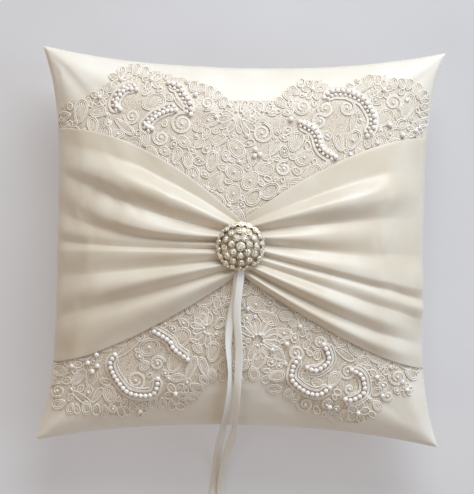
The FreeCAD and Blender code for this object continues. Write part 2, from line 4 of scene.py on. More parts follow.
import bmesh
import bpy
import numpy as np
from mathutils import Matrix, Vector


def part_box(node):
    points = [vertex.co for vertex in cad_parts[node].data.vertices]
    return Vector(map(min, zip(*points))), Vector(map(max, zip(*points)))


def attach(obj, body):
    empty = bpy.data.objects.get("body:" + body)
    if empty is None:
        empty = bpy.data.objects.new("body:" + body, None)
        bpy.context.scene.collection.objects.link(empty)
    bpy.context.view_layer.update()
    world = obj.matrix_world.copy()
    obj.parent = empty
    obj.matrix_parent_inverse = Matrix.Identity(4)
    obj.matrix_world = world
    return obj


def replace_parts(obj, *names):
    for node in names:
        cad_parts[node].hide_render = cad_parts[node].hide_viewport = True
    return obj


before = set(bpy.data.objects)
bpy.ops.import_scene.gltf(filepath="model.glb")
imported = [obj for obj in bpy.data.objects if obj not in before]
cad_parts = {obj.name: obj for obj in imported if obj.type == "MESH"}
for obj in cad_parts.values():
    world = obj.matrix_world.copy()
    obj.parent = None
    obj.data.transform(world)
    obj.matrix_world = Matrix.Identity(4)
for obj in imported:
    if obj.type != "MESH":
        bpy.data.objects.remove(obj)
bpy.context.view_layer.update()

# Ring bearer pillow, in metres, lying on its back. The cushion's size comes from the CAD frame's boxes.
# The lace motifs, fold lines and ribbon routes are lists in millimetres, not worked out from those boxes.
# Lengths written as n * MM are the looks' own small sizes.
MM = 0.001
front_low, front_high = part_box("cover_front_panel")
back_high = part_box("cover_back_panel")[1]
HALF_X, HALF_Y = front_high.x, front_high.y  # middle to a corner
SEAM_Z = (front_low.z + back_high.z) / 2
CROWN_Z = front_high.z
PULL_X, PULL_Y = 12.3 * MM, 11.8 * MM  # how far the edges pull in between the corners
END_POWER, SIDE_POWER = 2.4, 4.0  # how sharply the edges flare towards the corners


# ---- materials


class Shader:
    """A node material with short ways to add and join nodes."""

    def __init__(self, name, color, **sockets):
        self.material = bpy.data.materials.new(name)
        self.material.use_nodes = True
        self.tree = self.material.node_tree
        self.body = next(n for n in self.tree.nodes if n.type == "BSDF_PRINCIPLED")
        self.body.inputs["Base Color"].default_value = (*color, 1)
        for socket, value in sockets.items():
            self.body.inputs[socket.replace("_", " ")].default_value = value
        self.places = self.add("ShaderNodeTexCoord").outputs["Object"]

    def add(self, kind, **settings):
        node = self.tree.nodes.new(kind)
        for name, value in settings.items():
            if name in node.inputs:
                node.inputs[name].default_value = value
            else:
                setattr(node, name, value)
        return node

    def join(self, output, target):
        self.tree.links.new(output, target)

    def noise(self, scale, detail=2.0, stretch=(1, 1, 1), distortion=0.0):
        mapping = self.add("ShaderNodeMapping", Scale=stretch)
        self.join(self.places, mapping.inputs["Vector"])
        node = self.add("ShaderNodeTexNoise", Scale=scale, Detail=detail, Distortion=distortion)
        self.join(mapping.outputs[0], node.inputs["Vector"])
        return node.outputs["Fac"]

    def wave(self, scale, direction, distortion=0.0):
        node = self.add("ShaderNodeTexWave", Scale=scale, Distortion=distortion, bands_direction=direction)
        self.join(self.places, node.inputs["Vector"])
        return node.outputs["Fac"]

    def tint(self, factor, dark, light, low=0.35, high=0.65):
        """Colours the surface between two tones by a factor."""
        ramp = self.add("ShaderNodeValToRGB")
        ramp.color_ramp.elements[0].position, ramp.color_ramp.elements[1].position = low, high
        ramp.color_ramp.elements[0].color, ramp.color_ramp.elements[1].color = (*dark, 1), (*light, 1)
        self.join(factor, ramp.inputs["Fac"])
        self.join(ramp.outputs["Color"], self.body.inputs["Base Color"])

    def vary(self, socket, factor, low, high, top=1.0):
        """Takes a socket from low to high as a factor goes from 0 to top."""
        span = self.add("ShaderNodeMapRange", **{"From Max": top, "To Min": low, "To Max": high})
        self.join(factor, span.inputs["Value"])
        self.join(span.outputs["Result"], self.body.inputs[socket])

    def bump(self, height, depth, strength=1.0):
        """Adds a bump of a given depth in metres, on top of any earlier one."""
        node = self.add("ShaderNodeBump", Strength=strength, Distance=depth)
        self.join(height, node.inputs["Height"])
        normal = self.body.inputs["Normal"]
        if normal.links:
            self.join(normal.links[0].from_socket, node.inputs["Normal"])
        self.join(node.outputs["Normal"], normal)


def satin(name, dark, light, roughness, warp="X"):
    """Duchess satin: long warp floats, a soft broad sheen and slight slubs."""
    look = Shader(name, light, Roughness=roughness, Specular_IOR_Level=0.55, Sheen_Weight=0.22,
                  Sheen_Roughness=0.4)
    look.tint(look.noise(26, 3.0), dark, light)
    look.vary("Roughness", look.noise(90, 3.0), roughness - 0.04, roughness + 0.05)
    stretch = (0.08, 1, 1) if warp == "X" else (1, 0.08, 1)
    look.bump(look.noise(5200, 2.0, stretch), 0.018 * MM, 0.5)
    look.bump(look.noise(420, 2.0, stretch), 0.05 * MM, 0.35)
    return look.material


def net_look():
    """Fine tulle: a mesh of threads, mostly open. Its warm darker colour is partly the net's own tint and
    partly painted shade in the gaps of the lace.
    """
    look = Shader("tulle_net", (0.68, 0.55, 0.41), Roughness=0.7)
    cells = look.add("ShaderNodeTexVoronoi", Scale=850, feature="DISTANCE_TO_EDGE")
    look.join(look.places, cells.inputs["Vector"])
    look.vary("Alpha", cells.outputs["Distance"], 0.95, 0.0, top=0.12)
    return look.material


def thread_look(name, dark, light, roughness):
    """Twisted mercerised thread: fine slanting ridges and a soft sheen."""
    look = Shader(name, light, Roughness=roughness, Sheen_Weight=0.3, Sheen_Roughness=0.4)
    look.tint(look.noise(160, 3.0), dark, light)
    look.bump(look.wave(1500, "DIAGONAL", 3.0), 0.05 * MM, 0.5)
    return look.material


def stitched_look():
    """Petals filled with glossy floss threads."""
    look = Shader("floss_fill", (0.92, 0.88, 0.80), Roughness=0.4, Sheen_Weight=0.4, Sheen_Roughness=0.4)
    look.tint(look.noise(700, 2.0), (0.78, 0.69, 0.58), (0.90, 0.83, 0.74))
    look.bump(look.noise(2600, 2.0), 0.04 * MM, 0.5)
    return look.material


def shade_look():
    """Painted warm shade for every second strip of a floss fill, between two ribs."""
    look = Shader("floss_shade", (0.58, 0.49, 0.38), Roughness=0.7)
    look.tint(look.noise(500, 2.0), (0.48, 0.38, 0.27), (0.64, 0.54, 0.41))
    return look.material


def pearl_look():
    """Glass pearls: a milky body, cream to pinkish, under a clear glossy lustre."""
    look = Shader("pearl_lustre", (0.97, 0.92, 0.86), Roughness=0.35, Coat_Weight=0.6, Coat_Roughness=0.06,
                  Sheen_Weight=0.6, Sheen_Roughness=0.35)
    look.tint(look.noise(240, 2.0), (0.91, 0.82, 0.75), (1.0, 0.96, 0.92))
    return look.material


def crystal_look(name, deep, bright, facet_size):
    """Foil-backed rhinestone: small facets, each with its own tilt and a painted brightness, from a dark
    tone to a light one, that stands in for glints and dark reflections.
    """
    look = Shader(name, bright, Roughness=0.2, Coat_Weight=0.6, Coat_Roughness=0.05)
    facets = look.add("ShaderNodeTexVoronoi", Scale=1 / facet_size)
    look.join(look.places, facets.inputs["Vector"])
    shade = look.add("ShaderNodeSeparateColor")
    look.join(facets.outputs["Color"], shade.inputs[0])
    look.tint(shade.outputs[0], deep, bright, 0.02, 0.6)
    look.vary("Metallic", shade.outputs[1], 0.0, 0.35)
    look.bump(facets.outputs["Distance"], 0.25 * MM, 0.9)
    return look.material


def metal_look(name, dark, light):
    """Pale gold plating, darker and lighter in random patches."""
    look = Shader(name, light, Metallic=0.6, Roughness=0.4)
    look.tint(look.noise(300, 4.0), dark, light)
    look.vary("Roughness", look.noise(500, 3.0), 0.34, 0.52)
    look.bump(look.noise(900, 2.0), 0.05 * MM, 0.4)
    return look.material


LOOKS = {
    "cover": satin("cover_satin", (0.785, 0.71, 0.60), (0.84, 0.785, 0.70), 0.42, "Y"),
    "sash": satin("sash_satin", (0.70, 0.605, 0.475), (0.77, 0.70, 0.595), 0.36),
    "ribbon": satin("ribbon_satin", (0.80, 0.76, 0.69), (0.86, 0.83, 0.77), 0.36, "Y"),
    "net": net_look(),
    "gimp": thread_look("gimp_cord", (0.85, 0.77, 0.66), (0.94, 0.885, 0.805), 0.4),
    "floss": stitched_look(),
    "floss_shade": shade_look(),
    "thread": thread_look("sewing_thread", (0.74, 0.68, 0.58), (0.84, 0.79, 0.70), 0.55),
    "pearl": pearl_look(),
    # bead_crystal and brooch_crystal: the facet tones between their two colours are painted glints and
    # painted reflections.
    "bead": crystal_look("bead_crystal", (0.62, 0.64, 0.68), (1.0, 1.0, 1.0), 0.9 * MM),
    "stone": crystal_look("brooch_crystal", (0.30, 0.23, 0.14), (0.98, 0.92, 0.79), 0.7 * MM),
    "plating": metal_look("pale_gold_plating", (0.50, 0.41, 0.29), (0.92, 0.84, 0.69)),
    # pierced_plate is a darker copy of the plating: painted shade for the back plate and dome that lie under
    # the stones.
    "dark_plating": metal_look("pierced_plate", (0.40, 0.32, 0.22), (0.78, 0.68, 0.52)),
}


# ---- mesh helpers


def add_mesh(name, points, faces, material, smooth=True):
    mesh = bpy.data.meshes.new(name)
    mesh.from_pydata([tuple(p) for p in points], [], faces)
    mesh.validate()
    mesh.update()
    mesh.polygons.foreach_set("use_smooth", [smooth] * len(mesh.polygons))
    if material is not None:
        mesh.materials.append(material)
    piece = bpy.data.objects.new(name, mesh)
    bpy.context.scene.collection.objects.link(piece)
    return piece


def own(name, mesh, look, smooth=True):
    """A piece of the pillow: points and faces, with a look from the table."""
    piece = add_mesh(name, *mesh, LOOKS[look], smooth)
    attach(piece, "root")
    return piece


def grid_faces(rows, columns, closed=False, looped=False, base=0):
    """Quads over rows x columns points from base on; closed joins the last column to the first, looped the
    last row to the first."""
    faces = []
    for i in range(rows if looped else rows - 1):
        here, there = base + i * columns, base + (i + 1) % rows * columns
        for j in range(columns if closed else columns - 1):
            k = (j + 1) % columns
            faces.append((here + j, here + k, there + k, there + j))
    return faces


def run_lengths(line):
    """Distances of a line's points from its start, along it."""
    return np.concatenate([[0], np.cumsum(np.linalg.norm(np.diff(line, axis=0), axis=1))])


def read_along(line, runs, at):
    """Places on a line at distances from its start."""
    return np.stack([np.interp(at, runs, column) for column in line.T], axis=1)


# ---- cushion

CELLS = 64  # of the cushion's grid along a side
BLANK_GROWTH = 1.035  # the flat blank is larger than the filled cushion
START_RISE = 10 * MM  # of each blank's middle before it is filled
BLANK_PULL, BLANK_POWER = 0.15, 0.5  # share of the sides' pull that it has, and its crown's power
CROWN_POWER = 0.46  # a lower power makes a fuller crown
BACK_DEPTH = 1.12  # times the seam's height, before the back is pressed flat
CLOTH = {
    "quality": 7, "mass": 0.3, "tension_stiffness": 40, "compression_stiffness": 40,
    "shear_stiffness": 20, "bending_stiffness": 1.5, "use_pressure": True, "uniform_pressure_force": 4.5,
}
FRAMES = 24
WRINKLE_SHARE, SEAM_WRINKLE = 0.3, 0.35  # kept of the wrinkles' depth, and of that at the seam
IRONING = 60  # smoothing passes that take the wrinkles out


def outline_xy(u, v, pull=1.0):
    """Where grid place u, v in -1..1 lies, seen from above."""
    x = u * (HALF_X - pull * PULL_X * (1 - abs(v) ** SIDE_POWER))
    y = v * (HALF_Y - pull * PULL_Y * (1 - abs(u) ** END_POWER))
    return x, y


def grid_places():
    angles = np.linspace(-math.pi / 2, math.pi / 2, CELLS + 1)
    return np.sin(angles) * 0.6 + np.linspace(-1, 1, CELLS + 1) * 0.4


PLACES = grid_places()


def plain_layers():
    """The cushion's two faces from a formula, as (CELLS + 1) x (CELLS + 1) x 3 arrays."""
    layers = []
    for rise in (CROWN_Z - SEAM_Z, -SEAM_Z * BACK_DEPTH):
        layer = np.zeros((CELLS + 1, CELLS + 1, 3))
        for i, u in enumerate(PLACES):
            for j, v in enumerate(PLACES):
                x, y = outline_xy(u, v)
                crown = ((1 - u * u) * (1 - v * v)) ** CROWN_POWER
                layer[i, j] = x, y, SEAM_Z + rise * crown
        layers.append(layer)
    return layers


def inflated_layers():
    """The same two faces with the wrinkles of a cloth simulation: two square blanks, sewn and filled."""
    side = CELLS + 1
    points, index = [], {}
    for layer, rise in ((0, START_RISE), (1, -START_RISE)):
        for i, u in enumerate(PLACES):
            for j, v in enumerate(PLACES):
                rim = i in (0, CELLS) or j in (0, CELLS)
                if layer and rim:
                    index[1, i, j] = index[0, i, j]
                    continue
                index[layer, i, j] = len(points)
                x, y = outline_xy(u, v, BLANK_PULL)
                crown = ((1 - u * u) * (1 - v * v)) ** BLANK_POWER
                points.append((x * BLANK_GROWTH, y * BLANK_GROWTH, rise * crown))
    faces = []
    for layer in (0, 1):
        for i in range(CELLS):
            for j in range(CELLS):
                ring = [(i, j), (i + 1, j), (i + 1, j + 1), (i, j + 1)]
                face = [index[layer, a, b] for a, b in ring]
                faces.append(face[::-1] if layer else face)
    blank = add_mesh("blank", points, faces, None)
    cloth = blank.modifiers.new("inflate", "CLOTH")
    for setting, value in CLOTH.items():
        setattr(cloth.settings, setting, value)
    cloth.settings.effector_weights.gravity = 0
    cloth.collision_settings.use_collision = False
    cloth.point_cache.frame_start, cloth.point_cache.frame_end = 1, FRAMES
    for step in range(1, FRAMES + 1):
        bpy.context.scene.frame_set(step)
    settled = blank.evaluated_get(bpy.context.evaluated_depsgraph_get()).to_mesh()
    spots = np.array([tuple(v.co) for v in settled.vertices])
    bpy.data.objects.remove(blank)
    bpy.context.scene.frame_set(1)
    layers = [np.array([[spots[index[layer, i, j]] for j in range(side)] for i in range(side)])
              for layer in (0, 1)]
    return fitted(layers)


def padded(layer):
    """The grid with one more line all round, so that the spline reaches its rim."""
    wide = np.zeros((layer.shape[0] + 2, layer.shape[1] + 2, 3))
    wide[1:-1, 1:-1] = layer
    wide[0, 1:-1], wide[-1, 1:-1] = 2 * layer[0] - layer[1], 2 * layer[-1] - layer[-2]
    wide[:, 0], wide[:, -1] = 2 * wide[:, 1] - wide[:, 2], 2 * wide[:, -2] - wide[:, -3]
    return wide


def smoothed(layer, passes):
    """The layer with its wrinkles ironed out, its rim smoothed along itself."""
    soft = layer.copy()
    for _ in range(passes):
        wide = padded(soft)
        soft = (wide[:-2, 1:-1] + wide[2:, 1:-1] + wide[1:-1, :-2] + wide[1:-1, 2:] + 4 * soft) / 8
    return soft


def fitted(layers):
    """The cushion's plain faces with the simulated cloth's wrinkles laid over them."""
    shaped = []
    for plain, layer in zip(plain_layers(), layers):
        wrinkles = layer - smoothed(layer, IRONING)
        places = np.abs(PLACES)
        rim = np.maximum(places[:, None], places[None, :])
        keep = WRINKLE_SHARE * (1 - (1 - SEAM_WRINKLE) * np.clip((rim - 0.93) / 0.07, 0, 1))
        corner = np.clip((places[:, None] + places[None, :] - 1.75) / 0.25, 0, 1)
        shaped.append(plain + wrinkles * (keep * (1 - corner))[..., None])
    shaped[1][[0, -1], :] = shaped[0][[0, -1], :]
    shaped[1][:, [0, -1]] = shaped[0][:, [0, -1]]
    return shaped


def settle(layer):
    """Presses the back face flat where it rests."""
    floor = 0.4 * MM
    soft = 3.0 * MM
    near = floor + soft
    z = layer[..., 2]
    z = np.where(z < near, floor + soft * np.exp(np.minimum(z - floor - soft, 0) / soft), z)
    lowest = z.min()
    layer[..., 2] = np.where(z < near, (z - lowest) / (near - lowest) * near, z)
    return layer


front_layer, back_layer = inflated_layers()
back_layer = settle(back_layer)


def cubic_weights(t):
    """Catmull-Rom weights of the four neighbours of a place between grid lines."""
    return np.stack([
        ((-0.5 * t + 1.0) * t - 0.5) * t,
        (1.5 * t - 2.5) * t * t + 1.0,
        ((-1.5 * t + 2.0) * t + 0.5) * t,
        (0.5 * t - 0.5) * t * t,
    ], axis=-1)


class Face:
    """A cushion face that can be sampled smoothly at u, v in -1..1, or found from x, y."""

    def __init__(self, layer):
        self.wide = padded(layer)

    def sample(self, u, v):
        grid = []
        for place in (u, v):
            at = np.interp(np.clip(place, -1, 1), PLACES, np.arange(CELLS + 1))
            cell = np.minimum(at.astype(int), CELLS - 1)
            grid.append((cell, cubic_weights(at - cell)))
        (i, wi), (j, wj) = grid
        total = np.zeros(u.shape + (3,))
        for a in range(4):
            for b in range(4):
                total += self.wide[i + a, j + b] * (wi[..., a] * wj[..., b])[..., None]
        return total

    def normal(self, u, v):
        step = 0.004
        across = self.sample(u + step, v) - self.sample(u - step, v)
        along = self.sample(u, v + step) - self.sample(u, v - step)
        normals = np.cross(across, along)
        return normals / np.maximum(np.linalg.norm(normals, axis=-1, keepdims=True), 1e-12)

    def find(self, x, y):
        """The u, v that lie at x, y seen from above."""
        u, v = x / HALF_X, y / HALF_Y
        for _ in range(14):
            at = self.sample(u, v)
            u = np.clip(u + (x - at[..., 0]) / HALF_X, -1, 1)
            v = np.clip(v + (y - at[..., 1]) / HALF_Y, -1, 1)
        return u, v

    def place(self, x, y):
        """Points on the face at x, y, and its normals there."""
        u, v = self.find(np.asarray(x, float), np.asarray(y, float))
        return self.sample(u, v), self.normal(u, v)

    def lifted(self, x, y, lift):
        """Points above the face at x, y, raised by lift along its normal."""
        spots, normals = self.place(x, y)
        return spots + normals * np.asarray(lift, float)[..., None]


FRONT = Face(front_layer)
BACK = Face(back_layer)


def panel(name, face, upside):
    """One cover panel as a fine smooth mesh."""
    fine = 2 * CELLS
    places = np.interp(np.linspace(0, CELLS, fine + 1), np.arange(CELLS + 1), PLACES)
    u, v = np.meshgrid(places, places, indexing="ij")
    points = face.sample(u, v).reshape(-1, 3)
    faces = grid_faces(fine + 1, fine + 1)
    if not upside:
        faces = [f[::-1] for f in faces]
    return own(name, (points, faces), "cover")


cover_front = panel("cover_front", FRONT, True)
cover_back = panel("cover_back", BACK, False)
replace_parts(cover_front, "cover_front_panel", "fibrefill_core")
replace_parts(cover_back, "cover_back_panel")

STITCH_PITCH = 3.0 * MM
STITCH_LENGTH = 2.3 * MM
STITCH_RADIUS = 0.22 * MM
CLOSING_HALF = 38 * MM  # half of the hand-closed stretch in the bottom edge
CLOSING_SPAN = 0.9 * MM  # how far a hand stitch reaches on to each panel
ENDS_THIN = 0.45  # of a thread's or cord's radius where it enters the cloth


def rim_places(u, v):
    """Points evenly spaced along one side of the seam, by the stitch pitch."""
    rim = FRONT.sample(u, v)
    runs = run_lengths(rim)
    return read_along(rim, runs, np.arange(STITCH_PITCH, runs[-1] - STITCH_PITCH, STITCH_PITCH))


def threads_mesh(ends):
    """One mesh of short threads between pairs of points, thinner where they enter the cloth."""
    sides, shares = 6, (0.0, 0.2, 0.8, 1.0)
    tube = [f[::-1] for f in grid_faces(len(shares), sides, closed=True)]
    tube += [tuple(range(sides)), tuple(reversed(range((len(shares) - 1) * sides, len(shares) * sides)))]
    angles = np.arange(sides) * 2 * math.pi / sides
    vertices, faces = [], []
    for number, (start, end) in enumerate(ends):
        heading = (end - start) / np.linalg.norm(end - start)
        side = np.cross(heading, (0.1, 0.2, 1.0))
        side /= np.linalg.norm(side)
        up = np.cross(side, heading)
        for share in shares:
            radius = STITCH_RADIUS * (1.0 if 0 < share < 1 else ENDS_THIN)
            ring = np.cos(angles)[:, None] * side + np.sin(angles)[:, None] * up
            vertices.append(start + (end - start) * share + ring * radius)
        base = number * sides * len(shares)
        faces += [tuple(base + i for i in f) for f in tube]
    return np.vstack(vertices), faces


def seam_threads():
    """Machine stitches all round the seam, and slanting hand stitches where it was stuffed."""
    along = np.linspace(-1, 1, 8 * CELLS)
    edge = np.ones_like(along)
    machine, hand = [], []
    for u, v in ((edge, along), (-edge, along), (along, edge), (along, -edge)):
        places = rim_places(u, v)
        for here, there in zip(places, places[1:]):
            step = (there - here) * (STITCH_LENGTH / STITCH_PITCH)
            if v[0] < 0 and v[-1] < 0 and abs(here[0]) < CLOSING_HALF:
                cross = np.array([0, 0, CLOSING_SPAN])
                inward = np.array([0, CLOSING_SPAN, 0])
                hand.append((here + cross + inward * 0.5, here + step * 0.5 - cross + inward * 0.5))
            else:
                machine.append((here, here + step))
    return machine, hand


THREAD_NODES = {"seam_stitches": "seam_thread", "hand_stitches": "closing_stitches"}
for (name, node), ends in zip(THREAD_NODES.items(), seam_threads()):
    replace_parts(own(name, threads_mesh(ends), "thread"), node)

# ---- sash

LACE_LIFT = 1.1 * MM  # the sash lies on the lace
WING = 114  # mm from the middle to where the folds reach the side seam
HEIGHT_STOPS = (20, 62, WING)  # mm from the middle where a fold's three heights are given
# The fold lines of each wing from hem to hem: the hems outermost, then troughs and crests by turns. A
# line leaves the waist at an even share of its width. Its row gives the Y where it meets the side, its
# bend, and its heights by the gathers, halfway and at the side. Bend is 0 for a straight line, above 0
# for one that swings out early and below 0 for one that swings out late.
LEFT_FOLDS = [
    (72, 0.9, 2.2, 1.6, 0.8), (62, 0.55, 1, 1.1, 0.8), (50, 0.2, 5, 6, 1.2), (44, -0.4, 1, 1.3, 0.8),
    (33, -1.7, 4.6, 5, 1), (20, -2.6, 1, 1, 0.9), (9, -2.6, 2.8, 1.9, 2), (2, -4, 1.2, 1.4, 1),
    (-6, -1, 4, 3.5, 2.2), (-20, 0.2, 1, 1, 0.9), (-34, 0, 4.8, 5.1, 1.6), (-45, 0.15, 1, 0.9, 0.9),
    (-57, 0.25, 4.3, 3.9, 1.8), (-74, 0.4, 2, 1.6, 0.8),
]
RIGHT_FOLDS = [
    (70, 0.6, 2.2, 1.5, 0.8), (54, 0.2, 1, 1.2, 0.9), (38, 0.25, 5, 6, 1), (20, 0.6, 1, 1, 0.9),
    (9, -1, 4.7, 2.6, 1), (-4, 0.8, 0.8, 1, 0.9), (-24, 0.1, 4.1, 3.8, 3), (-31, 0, 1.6, 1.8, 1.2),
    (-37, 0, 3.4, 3, 3.4), (-44, 0, 2, 2.2, 1.6), (-50, 0.25, 5.4, 4.8, 1.2), (-59, 0.3, 0.8, 0.9, 0.9),
    (-66, 0.4, 4.1, 3.6, 1.2), (-74, 0.35, 2, 1.5, 0.8),
]
WAIST = (15.5, -16.5)  # Y of the two hems where the sash is gathered
WAIST_HEM, WAIST_TROUGH, WAIST_CREST = 1.8, 1.0, 3.0  # heights where the sash is gathered
ROWS_PER_FOLD = 8
TROUGH_SHARPNESS = 0.55
FOLD_DEPTH = 1.4  # times a fold's height above 1 mm
HEM_LIFT = 0.7  # times a hem's height
LEAST_LIFT = 0.05  # mm
SEAM_TUCK, TUCK_START = 0.75, 0.93  # how much of its lift the sash loses at the seam, and from where
# The rolled hem, round to under the sash, as offsets outward and up from the hem line in mm.
HEM_ROLL = [(0.0, 0.0), (0.32, -0.12), (0.5, -0.45), (0.34, -0.8), (0.0, -0.95), (-4.5, -1.0)]


def smooth_line(xs, ys, at):
    """A smooth line through points, without overshoot, read at the given places."""
    xs, ys = np.asarray(xs, float), np.asarray(ys, float)
    gaps, rises = np.diff(xs), np.diff(ys)
    slopes = rises / gaps
    tangents = np.zeros_like(ys)
    tangents[0], tangents[-1] = slopes[0], slopes[-1]
    same = slopes[:-1] * slopes[1:] > 0
    weight = (gaps[1:] + 2 * gaps[:-1], 2 * gaps[1:] + gaps[:-1])
    safe = np.where(same, slopes[:-1], 1), np.where(same, slopes[1:], 1)
    mean = (weight[0] + weight[1]) / (weight[0] / safe[0] + weight[1] / safe[1])
    tangents[1:-1] = np.where(same, mean, 0)
    i = np.clip(np.searchsorted(xs, at, side="right") - 1, 0, len(gaps) - 1)
    t = np.clip((at - xs[i]) / gaps[i], 0, 1)
    return ((2 * t**3 - 3 * t**2 + 1) * ys[i] + (t**3 - 2 * t**2 + t) * gaps[i] * tangents[i]
            + (3 * t**2 - 2 * t**3) * ys[i + 1] + (t**3 - t**2) * gaps[i] * tangents[i + 1])


def fold_y(folds, k, x):
    """Y of a fold line at distances x from the middle, in millimetres."""
    side_y, bend = folds[k][:2]
    waist = WAIST[0] + (WAIST[1] - WAIST[0]) * k / (len(folds) - 1)
    share = np.clip(np.asarray(x, float) / WING, 0, 1)
    swing = 1 - (1 - share) ** (1 + bend) if bend > 0 else share ** (1 - bend)
    return waist + (side_y - waist) * swing


def sash_columns():
    """Distances from the middle, closer together at the pinched waist and at the seam."""
    inner = np.linspace(0, 20, 17)[:-1]
    middle = np.linspace(20, 106, 58)[:-1]
    outer = np.linspace(106, 117.5, 20)
    return np.concatenate([inner, middle, outer])


def wing(folds, side):
    """Rows x columns of (x, y, height) over one wing, in millimetres."""
    columns = sash_columns()
    lines = []
    for k, fold in enumerate(folds):
        at_hem = k in (0, len(folds) - 1)
        waist = WAIST_HEM if at_hem else (WAIST_TROUGH if k % 2 else WAIST_CREST)
        heights = smooth_line((0, *HEIGHT_STOPS), (waist, *fold[2:]), columns)
        heights = heights * HEM_LIFT if at_hem else 1 + (heights - 1) * FOLD_DEPTH
        lines.append((fold_y(folds, k, columns), heights))
    rows = []
    for (y0, h0), (y1, h1) in zip(lines, lines[1:]):
        rising = len(rows) // ROWS_PER_FOLD % 2 == 1
        for step in range(ROWS_PER_FOLD):
            t = step / ROWS_PER_FOLD
            soft = (1 - math.cos(math.pi * t)) / 2
            crisp = math.sin(math.pi * t / 2) if rising else 1 - math.cos(math.pi * t / 2)
            ease = soft + (crisp - soft) * TROUGH_SHARPNESS
            rows.append((y0 + (y1 - y0) * t, h0 + (h1 - h0) * ease))
    rows.append(lines[-1])
    top = [(lines[0][0] + out, lines[0][1] + down) for out, down in reversed(HEM_ROLL[1:])]
    bottom = [(lines[-1][0] - out, lines[-1][1] + down) for out, down in HEM_ROLL[1:]]
    rows = top + rows + bottom
    return np.array([[(side * x, y, h) for x, y, h in zip(columns, ys, hs)] for ys, hs in rows])


def side_seam(y):
    """How far the side seam is from the middle at y, in metres."""
    return HALF_X - PULL_X * (1 - np.clip(np.abs(y) / HALF_Y, 0, 1) ** SIDE_POWER)


def sash():
    left, right = wing(LEFT_FOLDS, -1), wing(RIGHT_FOLDS, 1)
    grid = np.concatenate([left[:, :0:-1], right], axis=1)
    middle = left.shape[1] - 1
    grid[:, middle] = (left[:, 0] + right[:, 0]) / 2
    x, y = grid[..., 0] * MM, grid[..., 1] * MM
    reach = np.abs(x) / x.max()
    x = x * (1 - (1 - side_seam(y) / x.max()) * reach**4)
    drawn_in = 1 - SEAM_TUCK * np.clip((reach - TUCK_START) / 0.07, 0, 1) ** 2
    lift = (LACE_LIFT + np.maximum(grid[..., 2], LEAST_LIFT) * MM) * drawn_in
    points = FRONT.lifted(x, y, lift)
    rows, columns = grid.shape[:2]
    faces = [f[::-1] for f in grid_faces(rows, columns)]
    piece = own("sash", (points.reshape(-1, 3), faces), "sash")
    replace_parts(piece, "satin_sash", "sash_gather_thread")


sash()

# ---- lace

# Outer edges of the two lace appliques, and their motifs, in millimetres.
UPPER_EDGE = [
    (-114.5, 66), (-114.5, 76), (-113.5, 85), (-103, 90), (-88, 96), (-81, 108), (-69, 112.5), (-58, 109),
    (-44, 105), (-20, 98.5), (-8, 90), (5, 91.5), (19, 91), (33, 102), (46, 104.5), (59, 99.5), (78, 108),
    (94, 106.5), (107, 105.5), (115.5, 96), (114.5, 78), (114, 66),
]
LOWER_EDGE = [
    (-113.5, -66), (-113.5, -76), (-115.5, -87), (-116, -98), (-111, -105.5), (-93, -106), (-78, -107.5),
    (-69, -106), (-58, -101), (-40, -102), (-28, -98), (-17, -83.5), (2, -85), (13, -81.5), (20, -87.5),
    (41, -98), (56, -104.5), (71, -109.5), (80, -107.5), (88, -101), (95, -93.5), (104, -88.5), (112, -78),
    (113, -66),
]
# Lines of pearls along the scrolls.
UPPER_PEARLS = [
    [(-67, 98), (-74, 98), (-79, 93), (-81, 87), (-77.5, 83.5)],
    [(-47.5, 100), (-41.5, 98.5), (-39, 94.5), (-34.5, 88), (-34, 82)],
    [(-42, 85.5), (-47.5, 85), (-54.5, 81.5), (-59, 77.5), (-61.5, 74), (-57, 71.5)],
    [(51.5, 93), (55, 96.5), (60.5, 97), (66, 96.5), (74, 93), (78, 88), (81, 82), (80.5, 76), (77, 71.5)],
    [(35, 77.5), (43, 73.5), (46, 69.5), (48, 63), (51, 59.5), (57.5, 56)],
]
LOWER_PEARLS = [
    [(-77, -69), (-80, -74.5), (-78.5, -80.5), (-74.5, -86.5), (-69.5, -92), (-63.5, -94), (-56, -94),
     (-52, -92), (-50.5, -88), (-50, -83.5)],
    [(-55.5, -52.5), (-43.5, -59.5), (-40.5, -64.5), (-31.5, -71)],
    [(38, -69), (35, -73), (33.5, -78), (33.5, -82), (36.5, -85.5), (40.5, -88.5), (46, -91), (52, -91),
     (57.5, -87)],
    [(53, -60), (55.5, -65), (56.5, -70), (53, -74), (48, -76.5), (43, -74.5)],
    [(71, -75.5), (77, -79), (79, -84.5), (78.5, -90.5), (72, -94.5), (67.5, -94)],
]
# Spiral curls: x, y, radius, starting angle in degrees, turns (negative turns clockwise).
UPPER_CURLS = [
    (-69.5, 80, 5.4, 170, 1.4), (-38, 76, 7.6, 60, 1.6), (-51, 67, 5.6, 130, 1.4), (-84, 76, 3, 90, 1.1),
    (-22.5, 89, 5, 240, 1.3), (51.5, 87, 6.2, 90, 1.4), (65, 88, 6, 100, -1.4), (37, 88, 5.6, 200, 1.2),
    (48, 79, 6, 30, 1.2), (94, 92, 6, 300, 1.3), (12, 71, 7.2, 90, -1.5), (26, 49, 5.6, 60, 1.2),
]
LOWER_CURLS = [
    (-64, -85, 7.4, 170, 1.5), (-50.5, -74, 5.4, 0, 1.4), (-113, -93, 5.6, 60, 1.5),
    (-78, -103, 3.6, 90, 1.1), (35.5, -66, 5.8, 250, 1.5), (50.5, -59, 5.6, 200, 1.3),
    (68.5, -77, 6, 100, 1.5), (70, -88, 4.4, 30, -1.2), (42.5, -98, 5.4, 180, 1.2),
    (56, -98, 4.2, 0, 1.2), (94, -92, 4.4, 90, 1.3), (100, -80, 6, 160, 1.3),
]
